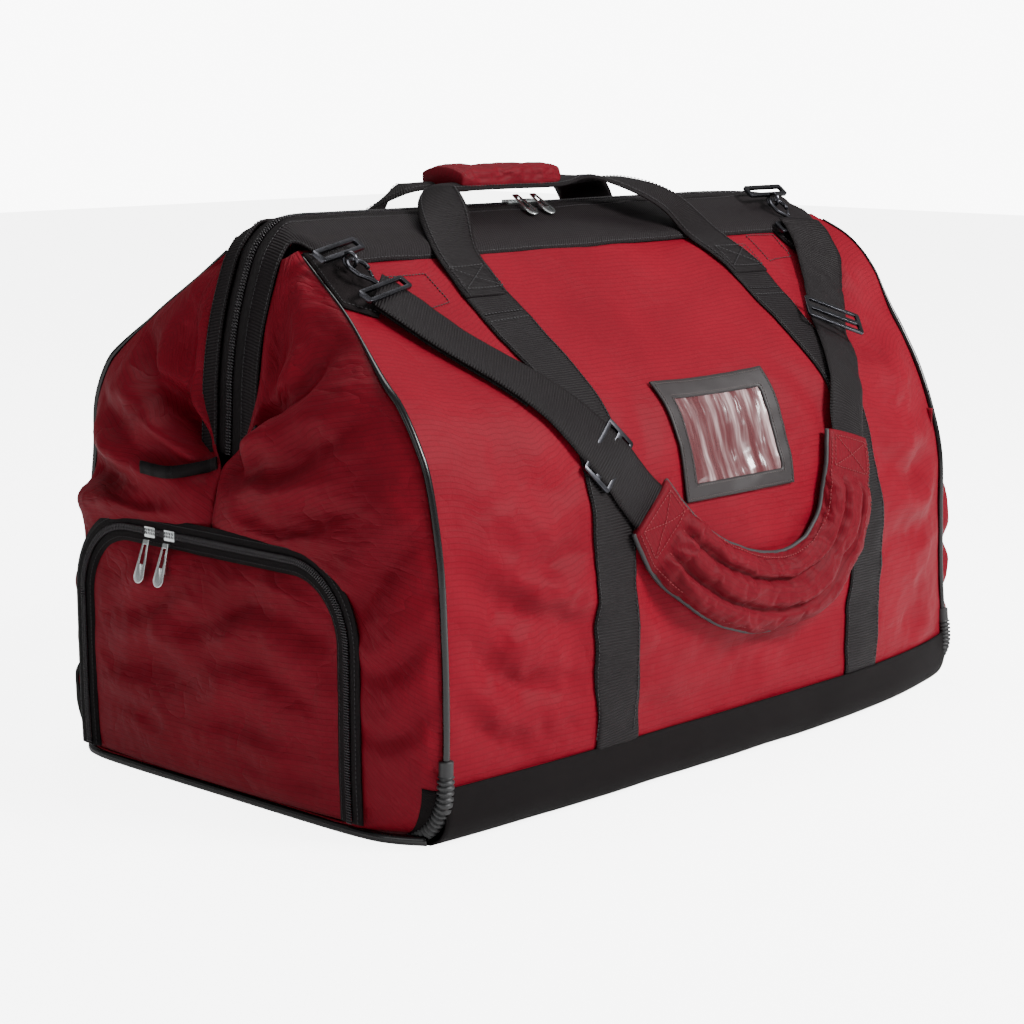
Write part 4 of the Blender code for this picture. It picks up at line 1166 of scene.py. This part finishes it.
def make_piping(paint):
    for side_word, side in SIDES.items():
        for word in MOUTHS:
            seam, _, _ = end_edges(word, side)
            run = seam[:, 1:] - [0, 0.0]
            out = np.gradient(run, axis=0)
            out /= np.linalg.norm(out, axis=1, keepdims=True)
            push = np.stack([np.full(len(out), side * 0.75), out[:, 1] * -0.65, out[:, 0] * 0.65], 1)
            push[:, 1] = -np.abs(push[:, 1])
            push[:, 2] = np.where(seam[:, 2] < 0.05, -0.2, np.abs(push[:, 2]))
            path = seam + push * np.interp(seam[:, 2], [0.34, 0.37], [0.0024, 0.0006])[:, None]
            path[:, 2] = np.maximum(path[:, 2], 0.0030)
            path = mirrored(path, word)
            thin = np.interp(path[::2, 2], [0.345, 0.375], [0.0028, 0.0011])
            piece = tube_piece(f"{side_word}_{word}_piping", path[::2], thin, paint["piping"], 12)
            if word == "front":
                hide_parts(f"{side_word}_piping")
            bend(piece)
            # the corrugated guard round the bottom corner
            low = path[(seam[:, 2] < 0.072) & (np.abs(seam[:, 1]) > 0.150)]
            dense = smooth_curve(low, 260)
            ribs = 0.0058 + 0.0009 * np.sign(np.sin(np.arange(260) / 260 * 2 * math.pi * 30))
            ribs[dense[:, 2] > 0.058] = 0.0056
            dense[:, 2] = np.maximum(dense[:, 2], 0.0068)
            guard = tube_piece(f"{side_word}_{word}_guard", dense, ribs, paint["rubber"], 16)
            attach(guard, "bag_body")


# ------------------------------------------------------------------ straps on the walls, handles


def box_cross(word, x, z, half_x, half_z, lift):
    """Lines of a stitched rectangle with a cross in it."""
    a, b, c, d = (x - half_x, z - half_z), (x + half_x, z - half_z), (x + half_x, z + half_z), \
        (x - half_x, z + half_z)
    return [laid_line(word, points, lift) for points in ((a, b, c, d, a), (a, c), (b, d))]


def make_wall_straps(paint):
    for word in MOUTHS:
        for side_word, side in SIDES.items():
            x = side * STRAP_X
            route = [(x - 0.006 * side * (side < 0), 0.046), (x, 0.110), (x + 0.001, 0.180),
                     (x, 0.240), (x, 0.300), (x, 0.345), (x, 0.383), (x, 0.398)]
            surface = laid_surface(word, route, 0.0495, 0.0026, 150)
            piece = closed_piece(f"{word}_{side_word}_strap_web", strap_rings(surface, 0.0022),
                                 paint["strap"])
            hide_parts(f"{word}_{side_word}_strap")
            bend(piece)
            lines = [laid_line(word, [(x + d * side, 0.056), (x + d * side, 0.375)], 0.0028, 200)
                     for d in (-0.0225, 0.0225)]
            lines += [laid_line(word, [(x - 0.022, h), (x + 0.022, h)], 0.0032) for h in (0.376, 0.381)]
            stitches = thread_piece(f"{word}_{side_word}_strap_stitches", lines, paint["thread"])
            bend(stitches)


def handle_rows():
    """The front handle's centre line and half widths, from the CAD's route."""
    half = 0.0248
    rows = []
    for z, shift, lift in ((0.3938, 0.000, 0.0050), (0.4010, 0.001, 0.0055), (0.4100, 0.003, 0.0062),
                           (0.4260, 0.007, 0.0085)):
        y = float(place_on_panel("front", -STRAP_X + shift, z, lift)[..., 1])
        rows.append((shift - STRAP_X, y, z + lift * 0.6, half, 0, 0))
    rows += [
        (-0.158, -0.0440, 0.4590, 0.0215, -0.0070, 0.003), (-0.148, -0.0260, 0.4775, 0.012, -0.0115, 0.004),
        (-0.133, -0.0160, 0.4820, 0.0020, -0.0115, 0.0), (-0.065, -0.0160, 0.4820, 0.0, -0.0115, 0.0),
        (0.003, -0.0160, 0.4820, 0.0, -0.0115, 0.0), (0.040, -0.0180, 0.4840, -0.004, -0.0150, 0.003),
        (0.082, -0.0300, 0.4785, -0.014, -0.0150, -0.004), (0.120, -0.0500, 0.4610, -0.021, -0.0110, -0.006),
    ]
    for z, shift, lift in ((0.4260, 0.016, 0.0085), (0.4100, 0.005, 0.0062), (0.4010, 0.001, 0.0055),
                           (0.3938, 0.000, 0.0050)):
        y = float(place_on_panel("front", STRAP_X - shift, z, lift)[..., 1])
        rows.append((STRAP_X - shift, y, z + lift * 0.6, -half, 0, 0))
    return smooth_curve(rows, 260)


def make_handles(paint):
    rows = handle_rows()
    for word, face in MOUTHS.items():
        share = np.linspace(-1, 1, 13)
        middle, across = rows[:, :3], rows[:, 3:6]
        width = np.linalg.norm(across, axis=1)
        fold = np.clip((0.0235 - width) / 0.0125, 0, 1)
        surface = middle[:, None] + across[:, None] * share[None, :, None]
        # a folded strap: its sides turn down where the grip makes it narrow
        drop = fold[:, None] * 0.0052 * np.abs(share[None]) ** 2.5
        surface[..., 2] -= drop
        mirror = np.array([1, -face, 1])
        surface = surface * mirror
        rings = strap_rings(surface, 0.0034)
        piece = closed_piece(f"{word}_handle_web", rings, paint["handle"])
        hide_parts(f"{word}_handle")
        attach(piece, f"{word}_grip")
        lines = []
        for x in (-STRAP_X, STRAP_X):
            lines += box_cross(word, x, 0.4050, 0.0205, 0.0080, 0.0066)
        for edge in (1, 11):
            lines.append(surface[:, edge] + np.array([0, face * 0.0006, 0.0005]))
        stitches = thread_piece(f"{word}_handle_stitches", lines, paint["thread"])
        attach(stitches, f"{word}_grip")


def make_wrap(paint):
    """The padded wrap that holds both grips, closed on top with a hook-and-loop edge."""
    low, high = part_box("handle_wrap")
    along = np.linspace(low.x + 0.012, high.x + 0.006, 64)
    angle = np.linspace(0, 2 * math.pi, 57)[:-1]
    centre_z, half_z = (low.z + high.z) / 2 + 0.0002, (high.z - low.z) / 2 - 0.0002
    half_y = (high.y - low.y) / 2 - 0.001
    rings = np.zeros((len(along), len(angle), 3))
    for n, x in enumerate(along):
        end = min(n, len(along) - 1 - n) / 6
        full = 0.88 + 0.12 * min(end, 1) ** 0.5
        cos, sin = np.cos(angle), np.sin(angle)
        squeeze = 1 - 0.10 * np.cos(2 * angle)
        y = half_y * full * np.sign(cos) * np.abs(cos) ** 0.75 * squeeze / 1.1
        z = half_z * full * np.sign(sin) * np.abs(sin) ** 0.85
        swell = 0.0011 * value_noise(np.full_like(angle, x * 40), angle * 1.3, 17)
        swell += 0.0008 * value_noise(np.full_like(angle, x * 95), angle * 2.6, 19)
        rings[n] = np.stack([np.full_like(angle, x), y + swell * cos, centre_z + z + swell * sin], 1)
    piece = closed_piece("handle_wrap_cloth", rings, paint["red_pad"])
    index = np.arange(rings.shape[0] * rings.shape[1]).reshape(rings.shape[:2])
    sewn = np.concatenate([index[:4].ravel(), index[-4:].ravel(), index[:, 12], index[:, 30:54].ravel()])
    puff(piece, np.unique(sewn), 4.0, 0.0010)
    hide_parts("handle_wrap")
    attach(piece, "front_grip")
    top = rings[:, 12] + [0, 0, 0.0003]
    lines = [top, rings[2, :28], rings[-3, :28]]
    stitches = thread_piece("handle_wrap_stitches", lines, paint["red_thread"])
    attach(stitches, "front_grip")


# ------------------------------------------------------------------ shoulder strap, pad and window

LEFT_ROUTE = [
    (-0.2850, 0.4010, 0.0060), (-0.2720, 0.3870, 0.0055), (-0.2520, 0.3670, 0.0035),
    (-0.2150, 0.3300, 0.0020), (-0.1800, 0.2920, 0.0018), (-0.1620, 0.2700, 0.0022),
    (-0.1450, 0.2500, 0.0018), (-0.1180, 0.2200, 0.0030), (-0.0980, 0.1980, 0.0040),
]
RIGHT_ROUTE = [
    (0.1420, 0.2400, 0.0060), (0.1480, 0.2620, 0.0050), (0.1620, 0.2900, 0.0045),
    (0.1910, 0.3210, 0.0030), (0.2230, 0.3500, 0.0020), (0.2560, 0.3780, 0.0035),
    (0.2760, 0.4010, 0.0050), (0.2860, 0.4180, 0.0070), (0.2880, 0.4260, 0.0080),
]
PAD_LINE = [
    (-0.1290, 0.2330), (-0.1100, 0.2080), (-0.0820, 0.1830), (-0.0430, 0.1600), (0.0080, 0.1450),
    (0.0520, 0.1440), (0.0920, 0.1570), (0.1200, 0.1850), (0.1360, 0.2230), (0.1460, 0.2600),
]


def make_shoulder_strap(paint):
    for side_word, route in (("left", LEFT_ROUTE), ("right", RIGHT_ROUTE)):
        surface = laid_surface("front", route, 0.0470, 0.0040, 150, cup=0.0008)
        piece = closed_piece(f"{side_word}_shoulder_web", strap_rings(surface, 0.0022), paint["strap"])
        if side_word == "left":
            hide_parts("shoulder_strap")
        bend(piece)
        # the end that runs back through the loop lies under it
        part = route[:4] if side_word == "left" else route[-5:]
        under = laid_surface("front", [(x + 0.0016, z - 0.0022, h) for x, z, h in part], 0.0465, 0.0012, 90)
        piece = closed_piece(f"{side_word}_shoulder_web_under", strap_rings(under, 0.0020),
                             paint["strap"])
        bend(piece)


def pad_surface(share_u, share_v, lift_scale=1.0):
    """The pad's top: share_u along it from 0 to 1, share_v across it from -1 to 1."""
    curve = smooth_curve(PAD_LINE, 400)
    flat = at(curve, share_u)
    ahead = np.gradient(curve, axis=0)
    ahead /= np.linalg.norm(ahead, axis=1, keepdims=True)
    direction = at(ahead, share_u)
    across = np.stack([-direction[..., 1], direction[..., 0]], -1)
    end = np.clip(np.minimum(share_u, 1 - share_u) / 0.035, 0, 1)
    half = 0.0310 + 0.0022 * np.sin(np.pi * share_u) + 0.0006 * value_noise(share_u * 22, share_u, 5)
    half = half * (0.94 + 0.06 * end)
    x = flat[..., 0] + across[..., 0] * share_v * half
    z = flat[..., 1] + across[..., 1] * share_v * half
    full = np.clip((np.minimum(share_u, 1 - share_u) - 0.085) / 0.05, 0, 1)
    full = full * full * (3 - 2 * full)
    round_off = np.clip(1 - np.abs(share_v) ** 3.2, 0, 1) ** 0.55
    channel = np.exp(-0.5 * ((np.abs(share_v) - 0.36) / 0.060) ** 2)
    lobes = (0.0138 - 0.0085 * channel) * round_off
    flat_end = 0.0042 * np.clip(1 - np.abs(share_v) ** 8, 0, 1) ** 0.5
    height = flat_end * (1 - full) + lobes * full
    height += full * round_off * 0.0014 * value_noise(share_u * 13, share_v * 2.2 + 9, 23)
    height += full * round_off * 0.0007 * value_noise(share_u * 47 + share_v, share_v * 3.1 + 3, 29)
    return x, z, 0.0068 + height * lift_scale


def puff(piece, held, pressure, cap, shrink=-0.035):
    """Cloth simulation of a stuffed cover that is sewn down at the held vertices. Moves at most cap."""
    group = piece.vertex_groups.new(name="held")
    group.add([int(k) for k in held], 1.0, "REPLACE")
    cloth = piece.modifiers.new("cloth", "CLOTH")
    settings = cloth.settings
    settings.quality = 6
    settings.mass = 0.15
    settings.tension_stiffness = settings.compression_stiffness = 14
    settings.shear_stiffness = 5
    settings.bending_stiffness = 0.3
    settings.use_pressure = True
    settings.uniform_pressure_force = pressure
    settings.shrink_min = shrink
    settings.vertex_group_mass = "held"
    settings.effector_weights.gravity = 0
    cloth.collision_settings.use_collision = False
    cloth.point_cache.frame_start, cloth.point_cache.frame_end = 1, 20
    scene = bpy.context.scene
    for number in range(1, 21):
        scene.frame_set(number)
    evaluated = piece.evaluated_get(bpy.context.evaluated_depsgraph_get())
    count = len(piece.data.vertices)
    before, after = np.zeros(count * 3), np.zeros(count * 3)
    piece.data.vertices.foreach_get("co", before)
    evaluated.data.vertices.foreach_get("co", after)
    move = (after - before).reshape(-1, 3)
    size = np.linalg.norm(move, axis=1, keepdims=True)
    move *= np.minimum(1, cap / np.maximum(size, 1e-9))
    piece.modifiers.remove(cloth)
    piece.vertex_groups.remove(group)
    piece.data.vertices.foreach_set("co", before + move.ravel())
    piece.data.update()
    scene.frame_set(1)


def make_pad(paint):
    u = np.linspace(0, 1, 170)
    v = np.sin(np.linspace(-math.pi / 2, math.pi / 2, 41))
    U, V = np.meshgrid(u, v, indexing="ij")
    x, z, lift = pad_surface(U, V)
    top = place_on_panel("front", x, z, lift)
    x, z, _ = pad_surface(U, V * 0.985)
    bottom = place_on_panel("front", x, z, np.full_like(x, 0.0040))
    rings = np.concatenate([top, bottom[:, ::-1]], 1)
    piece = closed_piece("shoulder_pad_cloth", rings, paint["red_pad"])
    index = np.arange(rings.shape[0] * rings.shape[1]).reshape(rings.shape[:2])
    sewn = [index[:, 41:].ravel(), index[:, :2].ravel(), index[:, 39:41].ravel(),
            index[:16].ravel(), index[-16:].ravel()]
    sewn += [index[:, k] for k in range(41) if abs(abs(v[k]) - 0.36) < 0.045]
    puff(piece, np.unique(np.concatenate(sewn)), 4.0, 0.0035)
    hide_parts("shoulder_pad")
    bend(piece)
    lines = []
    for v in (-0.36, 0.36, -0.90, 0.90):
        share = np.linspace(0.10 if abs(v) < 0.5 else 0.01, 0.90 if abs(v) < 0.5 else 0.99, 500)
        x, z, lift = pad_surface(share, np.full_like(share, v))
        lines.append(place_on_panel("front", x, z, lift + 0.0003))
    for low, high in ((0.012, 0.080), (0.920, 0.988)):
        corners = [(low, -0.78), (high, -0.78), (high, 0.78), (low, 0.78), (low, -0.78)]
        for path in (corners, [(low, -0.78), (high, 0.78)], [(low, 0.78), (high, -0.78)]):
            p = np.array(path)
            run = np.r_[0, np.cumsum(np.abs(np.diff(p, axis=0)).sum(1))]
            even = np.linspace(0, run[-1], 160)
            share = np.interp(even, run, p[:, 0])
            x, z, lift = pad_surface(share, np.interp(even, run, p[:, 1]))
            lines.append(place_on_panel("front", x, z, lift + 0.0003))
    stitches = thread_piece("shoulder_pad_stitches", lines, paint["red_thread"])
    bend(stitches)
    # the dark binding along both edges
    for name, v in (("inner", 0.99), ("outer", -0.99)):
        share = np.linspace(0.0, 1.0, 260)
        x, z, _ = pad_surface(share, np.full_like(share, v))
        path = place_on_panel("front", x, z, np.full_like(share, 0.0062))
        piece = tube_piece(f"shoulder_pad_{name}_binding", path, 0.0021, paint["thread"], 8)
        bend(piece)


WINDOW = (-0.0050, 0.2765, 0.0725, 0.0465)    # middle x and z, half width and half height in z


def make_window(paint):
    x0, z0, half_x, half_z = WINDOW
    outer = [(-half_x, -half_z), (half_x, -half_z), (half_x, half_z), (-half_x, half_z)]
    inner_x, inner_z = half_x - 0.0165, half_z - 0.0135
    rows = []
    for scale in np.linspace(0, 1, 9):
        a, b = half_x + (inner_x - half_x) * scale, half_z + (inner_z - half_z) * scale
        loop = []
        for (sx0, sz0), (sx1, sz1) in zip(((-1, -1), (1, -1), (1, 1), (-1, 1)),
                                          ((1, -1), (1, 1), (-1, 1), (-1, -1))):
            share = np.linspace(0, 1, 29)[:-1]
            loop += list(zip(a * (sx0 + (sx1 - sx0) * share), b * (sz0 + (sz1 - sz0) * share)))
        rows.append(loop)
    loops = np.array(rows)
    edge = np.minimum(np.arange(9), 8 - np.arange(9))
    lift = 0.0030 + 0.0006 * np.clip(edge, 0, 1)
    grid = place_on_panel("front", x0 + loops[..., 0], z0 + loops[..., 1],
                          np.broadcast_to(lift[:, None], loops.shape[:2]))
    frame_piece = grid_piece("window_frame_vinyl", grid, paint["vinyl"], 0.0014, ring=True)
    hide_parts("id_window_frame")
    bend(frame_piece)
    xs, zs = np.meshgrid(np.linspace(-inner_x, inner_x, 90), np.linspace(-inner_z, inner_z, 50),
                         indexing="ij")
    sag = 0.0012 * value_noise(xs * 120, zs * 22, 3) * np.clip(
        np.minimum(inner_x - np.abs(xs), inner_z - np.abs(zs)) / 0.004, 0, 1)
    grid = place_on_panel("front", x0 + xs, z0 + zs, 0.0022 + sag)
    pane = grid_piece("window_pane_film", grid, paint["film"])
    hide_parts("id_window_pane")
    bend(pane)
    lines = []
    for gap in (0.0030, 0.0135):
        a, b = half_x - gap, half_z - gap * 0.85
        corners = [(-a, -b), (a, -b), (a, b), (-a, b), (-a, -b)]
        lines.append(laid_line("front", [(x0 + p, z0 + q) for p, q in corners], 0.0040, 400))
    stitches = thread_piece("window_stitches", lines, paint["pale_thread"], 0.0030, 0.00032)
    bend(stitches)


# ------------------------------------------------------------------ tabs, patches and hardware


def make_tabs(paint):
    """The twill tabs under the snap hooks, and the stitched rectangles beside them."""
    tabs = {
        "left": [(-0.3130, 0.4330), (-0.2620, 0.4330), (-0.2700, 0.4060), (-0.2980, 0.3870),
                 (-0.3250, 0.3960)],
        "right": [(0.2520, 0.4335), (0.3120, 0.4335), (0.3060, 0.4130), (0.2840, 0.4010), (0.2600, 0.4120)],
    }
    for side_word, corners in tabs.items():
        corners = np.array(corners)
        middle = corners.mean(0)
        loops = np.stack([middle + (corners - middle) * s for s in np.linspace(1, 0.02, 12)])
        dense = np.concatenate([
            loops[:, [k]] + (loops[:, [(k + 1) % 5]] - loops[:, [k]]) * np.linspace(0, 1, 9)[:-1][None, :, None]
            for k in range(5)
        ], 1)
        lift = np.where(np.arange(12) == 0, 0.0022, 0.0032)[:, None] + 0 * dense[..., 0]
        grid = place_on_panel("front", dense[..., 0], dense[..., 1], lift)
        piece = grid_piece(f"{side_word}_hook_tab", grid, paint["tab"], 0.0016, ring=True)
        bend(piece)
        inner = middle + (corners - middle) * 0.88
        lines = [laid_line("front", [*inner, inner[0]], 0.0036, 200)]
        stitches = thread_piece(f"{side_word}_tab_stitches", lines, paint["thread"])
        bend(stitches)
    boxes = {"left": (-0.2330, 0.4010, 0.0210, 0.0125), "right": (0.2330, 0.4130, 0.0190, 0.0100)}
    lines = []
    for x, z, a, b in boxes.values():
        lines.append(laid_line("front", [(x - a, z - b), (x + a, z - b * 0.6), (x + a, z + b), (x - a, z + b),
                                         (x - a, z - b)], 0.0006, 200))
    stitches = thread_piece("patch_stitches", lines, paint["thread"], 0.0034, 0.00045)
    bend(stitches)


def make_hardware(paint):
    black, bright = paint["black_nickel"], paint["nickel"]
    for side in SIDES:
        refined(f"{side}_anchor_ring", "front_mouth", black, 0.0008)
        refined(f"{side}_snap_hook", f"{side}_hook", black, 0.0008)
        refined(f"{side}_hook_gate", f"{side}_gate", black, 0.0005)
        refined(f"{side}_strap_loop", f"{side}_loop", black, 0.0007)
        refined(f"{side}_adjuster", f"{side}_glide", black, 0.0007)
        refined(f"top_{side}_slider", f"top_{side}_slide", bright, 0.0006)
        refined(f"top_{side}_pull", f"top_{side}_tab", bright, 0.0006)
        for end in MOUTHS:
            refined(f"{side}_pocket_{end}_slider", f"{side}_{end}_slide", bright, 0.0006)
            refined(f"{side}_pocket_{end}_pull", f"{side}_{end}_tab", bright, 0.0006)


def dress_frame(paint):
    """The CAD's own materials, for the hidden pieces that stay as they are."""
    kinds = {"red_ripstop": "red", "black_twill": "twill", "webbing": "strap", "zip_tape": "tape",
             "stiffener": "lining", "piping": "piping", "steel": "steel", "bright_nickel": "nickel",
             "black_nickel": "black_nickel", "vinyl": "vinyl", "clear_pvc": "film"}
    slots = {p["node"]: p["material_slot"] for p in frame["record"]["subparts"]}
    for node, thing in frame["nodes"].items():
        for holder in thing.material_slots:
            holder.material = paint[kinds[slots[node]]]


def build():
    make_camera()
    make_studio()
    paint = make_materials()
    make_panels(paint)
    make_base(paint)
    make_ends(paint)
    make_pockets(paint)
    make_mouth(paint)
    make_piping(paint)
    make_wall_straps(paint)
    make_handles(paint)
    make_wrap(paint)
    make_shoulder_strap(paint)
    make_pad(paint)
    make_window(paint)
    make_tabs(paint)
    make_hardware(paint)
    dress_frame(paint)


build()
